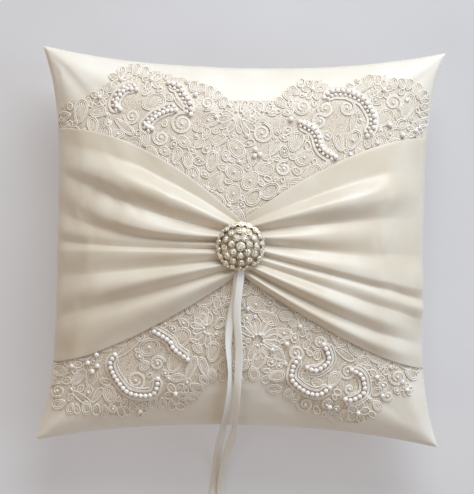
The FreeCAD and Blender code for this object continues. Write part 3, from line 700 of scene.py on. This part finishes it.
# Petals and leaves filled with floss: x, y, half length, half width, direction in degrees.
UPPER_PETALS = [
    (-56, 89, 7.4, 6.2, 20), (-74, 73.5, 7.5, 3, -38), (-102, 83, 7.6, 5, 80), (-94, 74, 5.6, 4, 100),
    (-39, 88.5, 5.6, 2.2, -40), (-61, 66, 4.6, 3.4, 100), (-41, 56, 5, 3.4, 70), (-34, 53, 5.2, 3.8, 100),
    (-27, 63.5, 3.6, 3, 30), (-19, 53, 6.4, 4.6, 80), (-28, 73, 3, 2.8, 0), (-15, 66, 4.8, 3.6, 30),
    (33, 66, 6.4, 5.4, 70), (60, 66, 5.6, 3.4, 110), (88, 82, 7, 5.5, 40), (103, 90, 8.5, 5, 75),
    (69, 79, 6, 2.4, 80), (20, 62, 5.2, 3.6, 60), (6, 55, 4.4, 3.4, 90), (74, 101, 6, 3, 30),
]
LOWER_PETALS = [
    (-69, -64.5, 9.5, 2.6, 42), (-40, -74, 6, 5.2, 70), (-36, -58, 7, 6, 60), (-29.5, -77, 8, 3.4, 70),
    (-21.5, -76, 6.5, 3.2, 110), (-100, -84, 6.2, 3.6, 50), (-92, -84.5, 5.8, 4.2, 75),
    (-98, -97, 7, 2.6, -35), (-88, -95, 5.5, 2.4, 55), (-16, -66, 6.2, 5, 80), (-24, -44, 6.5, 5, 70),
    (24, -80.5, 5, 4, 10),
    (22.5, -88.5, 4.6, 3.4, 0), (84, -66, 6, 4, 120), (66, -66, 7, 2.6, -35), (91, -70, 5.4, 4, 60),
    (60, -82, 5, 4.2, 60), (12.5, -71, 7, 5, 60), (18, -44, 7, 4.4, -30), (61, -106, 6, 3, 150),
]
# Flowers: x, y, radius, petals.
UPPER_FLOWERS = [
    (-77, 103, 7.6, 6), (-90, 92, 5.4, 5), (43.5, 99, 6.4, 6), (88, 100, 6, 5), (-58, 103, 6, 5),
    (108, 75, 5, 5), (66, 55, 4.4, 5), (-107, 73, 4.6, 5),
]
LOWER_FLOWERS = [
    (-39, -92.5, 7.4, 5), (38, -49, 7, 5), (76, -102.5, 7, 5), (-104, -77, 5.4, 5), (87, -80, 5, 5),
    (-61, -104, 4, 4), (106, -88, 4, 5),
]
# Ruffled rosettes in the middle: x, y, inner radius, outer radius, first and last angle, petals.
UPPER_RUFFLES = [(-3, 81, 3.5, 13, -60, 240, 13), (13, 82, 3, 9, 20, 200, 7)]
LOWER_RUFFLES = [(12, -58, 3.5, 14, -110, 150, 14), (-19, -52, 3, 11, 90, 290, 9)]
# Openings where only the net lies over the satin: x, y, radius.
UPPER_OPENINGS = [(63, 79, 6.5), (-30, 81, 3.2), (-70, 90, 4.6), (22, 77, 3.4)]
LOWER_OPENINGS = [(-70, -75, 6.4), (63, -66, 3.6), (-85, -74, 3), (-46, -66, 3.4)]
# Loose larger pearls.
UPPER_LOOSE = [(8, 60.5), (11, 57.5), (7.6, 56.6), (-30, 94), (30, 80), (92, 78), (100, 72)]
LOWER_LOOSE = [(-94, -69), (-88.5, -69.5), (-94, -74.5), (-88, -76.5), (-91, -80), (58, -99), (30, -60)]
# Faceted beads.
UPPER_CRYSTALS = [(-16.5, 80.5), (-8.3, 88), (67.4, 59), (102.8, 94), (84.4, 66.4), (111, 77)]
LOWER_CRYSTALS = [(5.5, -38.8), (10, -43.5), (15, -55), (21, -64), (91, -92), (103, -83)]

# Sizes of the cords, pearls and loops, in millimetres.
CORD_RADIUS = 0.44
CORD_STEP = 0.75
INNER_GAP = 1.15  # from a petal's outer cord to its inner one
PEARL_RADIUS = 1.5
PEARL_STEP = 3.05
SIDE_PEARL_RADIUS = 1.05
UPPER_RAILS = (2.8, 3.6, -2.6, -3.4)  # cords beside the pearls
LOWER_RAILS = (2.2, 3.0, -2.2, -3.0, 4.3)
SCROLL_HALF = 3.7  # room that a pearl scroll takes on each side
LOOSE_RADIUS = 1.6
SEED_RADIUS = 0.85
RIB_STEP = 1.15  # width of a floss rib, and of the dip beside it
HEART_BACK = 0.45  # how far from a petal's middle its ribs meet, as a share of its half length
SCALLOP_SIZES = (2.6, 4.3)
FILL_SIZES = (5.8, 4.8, 4.0, 3.3, 2.7, 2.1, 1.6)
FILL_TRIES = 2600  # random places tried at each size
FLOSS_SHARE, SEEDED_SHARE = 0.8, 0.42  # of the loops between the motifs
NET_STEP, NET_LIFT = 2.0, 0.12
CRYSTAL_RADIUS = 1.5
BALL_RISE, BALL_GAP = 0.92, 0.1  # a ball's middle above the face, in its radii and in mm more


def clear_of_sash(x, y, margin):
    """Whether a place lies outside the sash, by at least margin."""
    folds = LEFT_FOLDS if x < 0 else RIGHT_FOLDS
    k = 0 if y > 0 else len(folds) - 1
    hem = float(fold_y(folds, k, abs(x)))
    return y > hem + margin if y > 0 else y < hem - margin


def spline_points(points, step):
    """Evenly spaced points along a smooth line through the given ones."""
    points = np.asarray(points, float)
    ends = np.vstack([2 * points[0] - points[1], points, 2 * points[-1] - points[-2]])
    t = np.linspace(0, 1, 24, endpoint=False)
    weights = cubic_weights(t)
    fine = [weights @ ends[i:i + 4] for i in range(len(points) - 1)]
    fine = np.vstack(fine + [points[-1:]])
    runs = run_lengths(fine)
    return read_along(fine, runs, np.linspace(0, runs[-1], max(int(round(runs[-1] / step)), 2) + 1))


def toward(x, y, distance, direction):
    """The place at a distance from x, y in a direction in degrees."""
    turn = math.radians(direction)
    return x + distance * math.cos(turn), y + distance * math.sin(turn)


def girth(length, width):
    """About how long the outline of an egg shape is."""
    return 2 * math.pi * math.sqrt((length**2 + width**2) / 2)


def offset_line(line, distance):
    """The line moved sideways by a distance, which may vary along it."""
    heading = np.gradient(line, axis=0)
    heading /= np.maximum(np.linalg.norm(heading, axis=1, keepdims=True), 1e-9)
    return line + np.stack([-heading[:, 1], heading[:, 0]], axis=1) * np.asarray(distance)[..., None]


class Applique:
    """One lace motif piece: cords, floss fills, pearls and seeds gathered in the flat, in millimetres."""

    def __init__(self, edge, seed):
        self.edge = spline_points(edge, 1.0)
        self.low, self.high = self.edge.min(axis=0), self.edge.max(axis=0)
        above = edge[0][1] > 0
        waist = WAIST[0 if above else 1]
        (self.low if above else self.high)[1] = waist
        self.outline = np.vstack([self.edge, [(0, waist)]])
        self.dice = random.Random(seed)
        self.cords, self.fills, self.pearls, self.seeds = [], [], [], []
        self.taken = []  # circles already used, as x, y, radius

    def take(self, x, y, radius):
        self.taken.append((x, y, radius))

    def inside(self, x, y):
        """Whether a place is on the lace, between its outer edge and the sash."""
        if not clear_of_sash(x, y, -1.0):
            return False
        xs, ys = self.outline[:, 0], self.outline[:, 1]
        nx, ny = np.roll(xs, -1), np.roll(ys, -1)
        spans = (ys > y) != (ny > y)
        at = xs + (y - ys) / np.where(spans, ny - ys, 1) * (nx - xs)
        crossings = np.count_nonzero(spans & (at > x))
        return crossings % 2 == 1

    def room(self, x, y):
        """The distance from a place to the nearest circle already used."""
        circles = np.array(self.taken)
        return float((np.hypot(circles[:, 0] - x, circles[:, 1] - y) - circles[:, 2]).min())

    def cord(self, points, closed=False, height=0.42, radius=CORD_RADIUS):
        self.cords.append((np.asarray(points, float), closed, height, radius))

    def shape(self, x, y, length, width, direction, point=0.0, steps=None):
        """A rounded closed outline: an egg, blunt at one end and pointed by 0..1 at the other."""
        steps = steps or max(int(round(girth(length, width) / CORD_STEP)), 8)
        t = np.linspace(0, 2 * math.pi, steps, endpoint=False)
        along = np.cos(t) * length
        across = np.sin(t) * width * (1 - point * 0.75 * (1 - np.cos(t)) / 2)
        turn = math.radians(direction)
        return np.stack([x + along * math.cos(turn) - across * math.sin(turn),
                         y + along * math.sin(turn) + across * math.cos(turn)], axis=1)

    def fill(self, x, y, length, width, direction, point=0.0, dome=0.5):
        """Floss stitched across a shape, in ribs that fan out from its narrow end."""
        steps = 4 * max(int(round(girth(length, width) / RIB_STEP / 2)), 3)
        ring = self.shape(x, y, length, width, direction, point, steps)
        heart = np.array(toward(x, y, -HEART_BACK * length, direction))
        self.fills.append((heart, ring, dome))

    def petal(self, x, y, length, width, direction, point=0.5, double=True, filled=True):
        self.cord(self.shape(x, y, length, width, direction, point), closed=True)
        if double and width > 2.6:
            self.cord(self.shape(x, y, length - INNER_GAP, width - INNER_GAP, direction, point), closed=True,
                      height=0.5, radius=CORD_RADIUS * 0.8)
        if filled:
            self.fill(x, y, length - 0.3, width - 0.3, direction, point)
        for share in (-0.6, 0.0, 0.6):  # three circles stand for its room
            self.take(*toward(x, y, share * (length - width), direction), width)

    def flower(self, x, y, radius, petals):
        start = self.dice.uniform(0, 360)
        for k in range(petals):
            angle = start + 360 * k / petals + self.dice.uniform(-6, 6)
            reach = radius * self.dice.uniform(0.92, 1.08)
            middle = reach * 0.58
            width = min(reach * 0.42, math.pi * middle / petals * 0.98)
            self.petal(*toward(x, y, middle, angle), reach * 0.44, width, angle, 0.35, double=width > 2.4)
        self.take(x, y, radius * 0.5)
        self.seeds.append((x, y, PEARL_RADIUS * 0.95))

    def ruffle(self, x, y, inner, outer, first, last, petals):
        """A rosette of long narrow petals with wavy ends and seed beads between."""
        for k in range(petals):
            angle = first + (last - first) * k / (petals - 1) + self.dice.uniform(-4, 4)
            reach = outer * self.dice.uniform(0.82, 1.06)
            length = (reach - inner) / 2
            if self.inside(*toward(x, y, reach, angle)):
                self.petal(*toward(x, y, inner + length, angle), length, self.dice.uniform(1.9, 2.6), angle,
                           0.6, double=False)
            if k % 2:
                self.seeds.append((*toward(x, y, inner, angle), SEED_RADIUS))
        self.take(x, y, inner + 1)

    def curl(self, x, y, radius, start, turns):
        """A spiral cord, doubled, round a small floss-filled eye."""
        sweep = abs(turns) * 360
        count = max(int(sweep / 14), 10)
        for gap, height in ((0.0, 0.45), (1.0, 0.5)):
            points = []
            for k in range(count + 1):
                share = k / count
                reach = (radius - gap) * (1 - 0.62 * share**0.9)
                points.append(toward(x, y, reach, start + math.copysign(sweep, turns) * share))
            self.cord(points, height=height)
        self.fill(x, y, radius * 0.62, radius * 0.62, self.dice.uniform(0, 360), dome=0.4)
        self.take(x, y, radius)
        self.seeds.append((x, y, SEED_RADIUS))

    def pearl_scroll(self, line):
        """Pearls along a line, and above the sash a row of small ones beside them, between cords."""
        places = spline_points(line, PEARL_STEP)
        above = line[0][1] > 0
        shift = PEARL_RADIUS * 0.8 if above else 0.0
        for x, y in offset_line(places, shift):
            if clear_of_sash(x, y, PEARL_RADIUS):
                self.pearls.append((x, y, PEARL_RADIUS))
        between = (places[1:] + places[:-1]) / 2
        for x, y in offset_line(between, -SIDE_PEARL_RADIUS) if above else []:
            if clear_of_sash(x, y, SIDE_PEARL_RADIUS):
                self.seeds.append((x, y, SIDE_PEARL_RADIUS))
        rail = spline_points(line, CORD_STEP)
        taper = np.minimum(1, np.minimum(np.arange(len(rail)), np.arange(len(rail))[::-1]) / 5 + 0.3)
        for distance in UPPER_RAILS if above else LOWER_RAILS:
            self.cord(offset_line(rail, distance * taper), height=0.5, radius=CORD_RADIUS * 1.1)
        for x, y in rail[::2]:
            self.take(x, y, SCROLL_HALF)

    def scallops(self):
        """Petals set side by side along the outer edge."""
        spot = 0
        while spot < len(self.edge) - 3:
            size = self.dice.uniform(*SCALLOP_SIZES)
            spot += int(round(size * 0.9))
            if spot >= len(self.edge) - 2:
                break
            x, y = self.edge[spot]
            heading = self.edge[spot + 1] - self.edge[spot - 1]
            heading /= np.linalg.norm(heading)
            sign = -1 if y > 0 else 1  # the lace lies on the right of the edge when above
            inward = np.array([-heading[1], heading[0]]) * sign
            cx, cy = np.array([x, y]) + inward * (size * 0.72)
            if self.room(cx, cy) > size * 0.35 and clear_of_sash(cx, cy, size * 0.2):
                outward = math.degrees(math.atan2(-inward[1], -inward[0]))
                self.petal(cx, cy, size * 1.06, size * self.dice.uniform(0.78, 0.95),
                           outward + self.dice.uniform(-14, 14), 0.45)
            spot += int(round(size * 0.75))

    def pack(self):
        """Fills what is left with loops, from the largest that fit to the smallest."""
        for size in FILL_SIZES:
            for _ in range(FILL_TRIES):
                x, y = (self.dice.uniform(low, high) for low, high in zip(self.low, self.high))
                if self.room(x, y) < size * 0.86 or not self.inside(x, y):
                    continue
                length, width = size * self.dice.uniform(1.0, 1.18), size * self.dice.uniform(0.74, 0.92)
                self.petal(x, y, length, width, self.dice.uniform(0, 360), self.dice.uniform(0.1, 0.6),
                           double=size > 2.8, filled=self.dice.random() < FLOSS_SHARE)
                if self.dice.random() < SEEDED_SHARE:
                    self.seeds.append((x, y, SEED_RADIUS))


def cords_mesh(cords):
    """One mesh of round cords that follow the front face."""
    sides = 5
    flat = np.vstack([points for points, *_ in cords]) * MM
    spots, normals = FRONT.place(flat[:, 0], flat[:, 1])
    vertices, faces, start, base = [], [], 0, 0
    angles = np.arange(sides) * 2 * math.pi / sides + math.pi / 2
    for points, closed, height, radius in cords:
        count = len(points)
        here, up = spots[start:start + count], normals[start:start + count]
        start += count
        centre = here + up * (height * MM)
        heading = np.gradient(centre, axis=0)
        if closed:
            heading = np.roll(centre, -1, axis=0) - np.roll(centre, 1, axis=0)
        heading /= np.maximum(np.linalg.norm(heading, axis=1, keepdims=True), 1e-9)
        side = np.cross(up, heading)
        size = np.full(count, radius * MM)
        if not closed:
            size[[0, -1]] *= ENDS_THIN
        ring = centre[:, None] + size[:, None, None] * (np.cos(angles)[None, :, None] * side[:, None]
                                                        + np.sin(angles)[None, :, None] * up[:, None])
        vertices.append(ring.reshape(-1, 3))
        faces += grid_faces(count, sides, closed=True, looped=closed, base=base)
        if not closed:
            faces.append(tuple(base + k for k in reversed(range(sides))))
            faces.append(tuple(base + (count - 1) * sides + k for k in range(sides)))
        base += count * sides
    return np.vstack(vertices), faces


def fills_mesh(fills):
    """One mesh of domed, ribbed floss fills."""
    shares = (1.0, 0.72, 0.42, 0.16)
    flat, lifts, faces, base = [], [], [], 0
    for heart, ring, dome in fills:
        count = len(ring)
        ribs = np.where(np.arange(count) // 2 % 2, 0.16, -0.08)
        for share in shares:
            flat.append(heart + (ring - heart) * share)
            lifts.append(0.18 + dome * (1 - share**2) + ribs * share)
        flat.append(heart[None])
        lifts.append(np.array([0.2 + dome]))
        faces += grid_faces(len(shares), count, closed=True, base=base)
        last = base + (len(shares) - 1) * count
        for i in range(count):
            faces.append((last + i, last + (i + 1) % count, base + len(shares) * count))
        base += len(shares) * count + 1
    flat, lifts = np.vstack(flat) * MM, np.concatenate(lifts) * MM
    return FRONT.lifted(flat[:, 0], flat[:, 1], lifts), faces


def ball(detail):
    """Corners and faces of a unit ball."""
    shape = bmesh.new()
    bmesh.ops.create_icosphere(shape, subdivisions=detail, radius=1.0)
    corners = np.array([tuple(v.co) for v in shape.verts])
    faces = [tuple(v.index for v in f.verts) for f in shape.faces]
    shape.free()
    return corners, faces


def balls_mesh(places, detail):
    """One mesh of balls resting on the front face; places are x, y, radius in millimetres."""
    corners, ball_faces = ball(detail)
    places = np.array(places, float) * MM
    spots, normals = FRONT.place(places[:, 0], places[:, 1])
    vertices, faces = [], []
    for k, (spot, up, radius) in enumerate(zip(spots, normals, places[:, 2])):
        vertices.append(spot + up * (radius * BALL_RISE + BALL_GAP * MM) + corners * radius)
        faces += [tuple(k * len(corners) + i for i in f) for f in ball_faces]
    return np.vstack(vertices), faces


def crystals_mesh(places):
    """Faceted sew-on beads: a table, a crown and a point of flat facets."""
    sides = 8
    profile = [(0.55, 1.3), (1.0, 0.75), (1.0, 0.5), (0.35, 0.05)]  # reach and height, in radii
    vertices, faces = [], []
    places = np.array(places, float) * MM
    spots, normals = FRONT.place(places[:, 0], places[:, 1])
    radius = CRYSTAL_RADIUS * MM
    for spot, up in zip(spots, normals):
        across = np.cross(up, (0.3, 1, 0))
        across /= np.linalg.norm(across)
        along = np.cross(up, across)
        base = len(vertices)
        for reach, height in profile:
            for k in range(sides):
                angle = 2 * math.pi * k / sides
                vertices.append(spot + up * (height * radius) + (across * math.cos(angle)
                                                                 + along * math.sin(angle)) * reach * radius)
        faces += [(a, d, c, b) for a, b, c, d in grid_faces(len(profile), sides, closed=True, base=base)]
        faces.append(tuple(base + k for k in range(sides)))
        faces.append(tuple(base + (len(profile) - 1) * sides + k for k in reversed(range(sides))))
    return np.array(vertices), faces


def net_mesh(applique):
    """The tulle ground: a fine grid cut to the applique's outline, a little inside the scallops."""
    xs, ys = (np.arange(low, high, NET_STEP) for low, high in zip(applique.low, applique.high))
    index, flat, faces = {}, [], []
    keep = {(i, j) for i, x in enumerate(xs) for j, y in enumerate(ys)
            if applique.inside(x + NET_STEP / 2, y + NET_STEP / 2) or applique.inside(x, y)}
    for i, j in sorted(keep):
        if not ((i - 1, j) in keep or (i + 1, j) in keep):
            continue
        face = []
        for a, b in ((i, j), (i + 1, j), (i + 1, j + 1), (i, j + 1)):
            if (a, b) not in index:
                index[a, b] = len(flat)
                flat.append((applique.low[0] + a * NET_STEP, applique.low[1] + b * NET_STEP))
            face.append(index[a, b])
        faces.append(face)
    flat = np.array(flat) * MM
    return FRONT.lifted(flat[:, 0], flat[:, 1], np.full(len(flat), NET_LIFT * MM)), faces


def shade_between(piece, fills):
    """Gives every second strip of each fill the painted shade between floss ribs."""
    piece.data.materials.append(LOOKS["floss_shade"])
    looks, rows = [], 4
    for _, ring, _ in fills:
        looks += [1 if i % 4 in (2, 3) else 0 for _ in range(rows) for i in range(len(ring))]
    piece.data.polygons.foreach_set("material_index", looks)


def applique(side, edge, curls, petals, flowers, ruffles, openings, pearls, loose, crystals, seed, area):
    """Draws one applique, above or below the sash; its flat area, in square metres, is not used."""
    lace = Applique(edge, seed)
    for x, y in loose:
        if clear_of_sash(x, y, LOOSE_RADIUS):
            lace.seeds.append((x, y, LOOSE_RADIUS))
            lace.take(x, y, LOOSE_RADIUS)
    for x, y, radius in openings:
        lace.take(x, y, radius)
    for line in pearls:
        lace.pearl_scroll(line)
    motifs = {lace.curl: curls, lace.petal: petals, lace.flower: flowers, lace.ruffle: ruffles}
    for draw, rows in motifs.items():
        for row in rows:
            draw(*row)
    lace.scallops()
    lace.pack()
    lace.seeds = [seed for seed in lace.seeds if clear_of_sash(*seed)]
    cords = own(f"lace_{side}_cords", cords_mesh(lace.cords), "gimp")
    floss = own(f"lace_{side}_floss", fills_mesh(lace.fills), "floss")
    shade_between(floss, lace.fills)
    pearl_rows = own(f"pearls_{side}", balls_mesh(lace.pearls, 3), "pearl")
    seeds = own(f"seed_beads_{side}", balls_mesh(lace.seeds, 2), "pearl")
    beads = own(f"crystal_beads_{side}", crystals_mesh(crystals), "bead", smooth=False)
    net = own(f"lace_{side}_net", net_mesh(lace), "net")
    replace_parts(net, f"lace_{side}", *(["lace_tacking_thread"] if side == "upper" else []))
    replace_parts(pearl_rows, f"lace_{side}_pearls")
    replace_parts(beads, f"lace_{side}_beads")


applique("upper", UPPER_EDGE, UPPER_CURLS, UPPER_PETALS, UPPER_FLOWERS, UPPER_RUFFLES, UPPER_OPENINGS,
         UPPER_PEARLS, UPPER_LOOSE, UPPER_CRYSTALS, 11, 0.0125)
applique("lower", LOWER_EDGE, LOWER_CURLS, LOWER_PETALS, LOWER_FLOWERS, LOWER_RUFFLES, LOWER_OPENINGS,
         LOWER_PEARLS, LOWER_LOOSE, LOWER_CRYSTALS, 12, 0.0105)

# ---- brooch

RINGS = ("inner_ring", "middle_ring", "outer_ring", "accent")
BROOCH_LOOKS = {
    "stone": ["centre_stone", *(f"{ring}_stones" for ring in RINGS)],
    "plating": ["centre_setting", *(f"{ring}_settings" for ring in RINGS), "brooch_shank"],
    # The back plate and dome get the darker plating, which is painted shade under the stones.
    "dark_plating": ["brooch_back_plate", "brooch_dome"],
    "thread": ["brooch_sewing_thread"],
    "ribbon": ["ribbon_anchor_fold"],
}


for look, names in BROOCH_LOOKS.items():
    for name in names:
        for slot in bpy.data.objects[name].material_slots:
            slot.material = LOOKS[look]

# ---- ring ribbons

RIBBON_WIDTH = 5.0 * MM
RIBBON_THICKNESS = 0.22 * MM
RIBBON_CUP = 0.25 * MM  # how much its edges stand up
EDGE_THIN = 0.55  # of its thickness, at its edges
# Control points of the two tails, from under the brooch to the cut ends, in millimetres.
LEFT_TAIL = [
    (-1.2, -13.5, 74.0), (-2.2, -28.0, 72.8), (-5.4, -44.0, 70.2), (-6.6, -60.0, 67.8), (-4.8, -75.5, 65.0),
    (-4.9, -89.5, 61.2), (-6.4, -101.5, 54.0), (-8.0, -111.0, 45.2), (-9.2, -117.8, 33.0),
    (-10.2, -122.5, 20.0), (-11.2, -127.5, 9.5), (-12.4, -136.5, 2.8), (-13.2, -148.0, 1.0),
    (-14.6, -161.0, 0.8), (-17.8, -174.0, 0.8), (-18.6, -187.0, 0.8),
]
RIGHT_TAIL = [
    (1.2, -13.5, 74.5), (-0.6, -28.0, 74.0), (-2.0, -44.0, 71.6), (0.2, -60.0, 68.6), (0.2, -75.5, 65.2),
    (-0.4, -89.5, 62.0), (-0.9, -102.0, 56.4), (-1.6, -112.0, 47.6), (-2.4, -120.0, 34.0),
    (-3.8, -125.0, 21.0), (-5.4, -130.0, 11.0), (-7.8, -139.0, 5.0), (-9.4, -150.0, 2.6),
    (-10.2, -163.0, 1.4), (-8.4, -175.5, 0.8),
]


def route_line(points):
    """Points read from the smooth NURBS line whose control points are the route."""
    curve = bpy.data.curves.new("route", "CURVE")
    curve.dimensions = "3D"
    spline = curve.splines.new("NURBS")
    spline.points.add(len(points) - 1)
    for spot, point in zip(spline.points, points):
        spot.co = (*(c * MM for c in point), 1)
    spline.order_u = 3
    spline.use_endpoint_u = True
    spline.resolution_u = 10
    holder = bpy.data.objects.new("route", curve)
    line = bpy.data.meshes.new_from_object(holder)
    spots = [v.co.copy() for v in line.vertices]
    bpy.data.objects.remove(holder)
    return spots


def ribbon(name, points, node, twists):
    """A flat ribbon along a route; twists are (share of the path, degrees) pairs."""
    path = route_line(points)
    runs = np.cumsum([0] + [(b - a).length for a, b in zip(path, path[1:])])
    shares, angles = zip(*twists)
    columns = 7
    spots = []
    for i, here in enumerate(path):
        heading = (path[min(i + 1, len(path) - 1)] - path[max(i - 1, 0)]).normalized()
        across = (Vector((1, 0, 0)) - heading * heading.x).normalized()
        up = across.cross(heading)
        turn = math.radians(float(np.interp(runs[i] / runs[-1], shares, angles)))
        side = across * math.cos(turn) + up * math.sin(turn)
        raised = up * math.cos(turn) - across * math.sin(turn)
        slant = 0.0 if i < len(path) - 1 else 1.0
        for layer in (0.5, -0.5):
            for k in range(columns):
                place = k / (columns - 1) - 0.5
                cup = (place * 2) ** 2 * RIBBON_CUP
                edge = EDGE_THIN if k in (0, columns - 1) else 1.0
                cut = heading * (-slant * (place + 0.5) * RIBBON_WIDTH)
                spots.append(here + side * (place * RIBBON_WIDTH) + cut
                             + raised * (cup + layer * edge * RIBBON_THICKNESS))
    ring = 2 * columns
    order = list(range(columns)) + [ring - 1 - k for k in range(columns)]
    spots = [spots[i * ring + k] for i in range(len(path)) for k in order]
    faces = [f[::-1] for f in grid_faces(len(path), ring, closed=True)]
    faces += [tuple(range(ring)), tuple(range(len(spots) - 1, len(spots) - 1 - ring, -1))]
    piece = own(name, (spots, faces), "ribbon")
    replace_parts(piece, node)


ribbon("ribbon_left", LEFT_TAIL, "ribbon_left_tail",
       [(0, -8), (0.08, -26), (0.16, -10), (0.24, 38), (0.31, 60), (0.4, 52), (0.5, 34), (0.62, 14),
        (0.75, 0), (1, 0)])
ribbon("ribbon_right", RIGHT_TAIL, "ribbon_right_tail",
       [(0, 24), (0.1, 10), (0.2, -16), (0.32, -8), (0.42, -34), (0.52, -62), (0.6, -52), (0.7, -16),
        (0.8, 0), (1, 0)])

# ---- studio and camera


def studio():
    floor_look = Shader("studio_floor", (0.66, 0.65, 0.67), Roughness=0.9)
    floor_look.tint(floor_look.noise(9, 2.0), (0.385, 0.385, 0.395), (0.415, 0.415, 0.425))
    floor_look.body.inputs["Emission Color"].default_value = (0.96, 0.91, 0.91, 1)
    floor_look.body.inputs["Emission Strength"].default_value = 0.26
    reach = 4.0
    corners = [(-reach, -reach, 0), (reach, -reach, 0), (reach, reach, 0), (-reach, reach, 0)]
    floor = add_mesh("studio_floor", corners, [(0, 1, 2, 3)], floor_look.material, smooth=False)
    world = bpy.data.worlds.new("studio")
    world.use_nodes = True
    sky = world.node_tree.nodes["Background"].inputs
    sky["Color"].default_value = (1.0, 0.86, 0.74, 1)
    sky["Strength"].default_value = 0.29
    bpy.context.scene.world = world
    aim = Vector((0.0, 0.0, 0.03))
    for name, spot, width, height, power, color in [
        ("window", (0.35, 1.15, 0.85), 1.1, 0.8, 21.5, (0.83, 0.92, 1.0)),
        ("side_window", (1.2, 0.0, 0.8), 0.8, 0.8, 6.0, (0.60, 0.78, 1.0)),
        ("fill", (-0.9, -0.7, 1.0), 0.9, 0.9, 3.0, (1.0, 0.90, 0.80)),
    ]:
        lamp = bpy.data.lights.new(name, "AREA")
        lamp.shape = "RECTANGLE"
        lamp.size, lamp.size_y = width, height
        lamp.energy = power
        lamp.color = color
        holder = bpy.data.objects.new(name, lamp)
        holder.location = spot
        holder.rotation_euler = (aim - Vector(spot)).to_track_quat("-Z", "Y").to_euler()
        bpy.context.scene.collection.objects.link(holder)


def camera():
    """Straight above the pillow, on a long lens, turned a little as the pillow lies."""
    data = bpy.data.cameras.new("camera")
    distance = 2.6
    view_height = 312.2 * MM  # that the picture's height covers at the seam
    data.sensor_width = 36
    data.lens = distance / view_height * data.sensor_width
    holder = bpy.data.objects.new("camera", data)
    turn = 1.1  # degrees
    holder.location = (-2.2 * MM, -0.35 * MM, SEAM_Z + distance)
    holder.rotation_euler = (0, 0, math.radians(turn))
    bpy.context.scene.collection.objects.link(holder)
    bpy.context.scene.camera = holder


studio()
camera()
bpy.context.scene.view_settings.view_transform = "Standard"
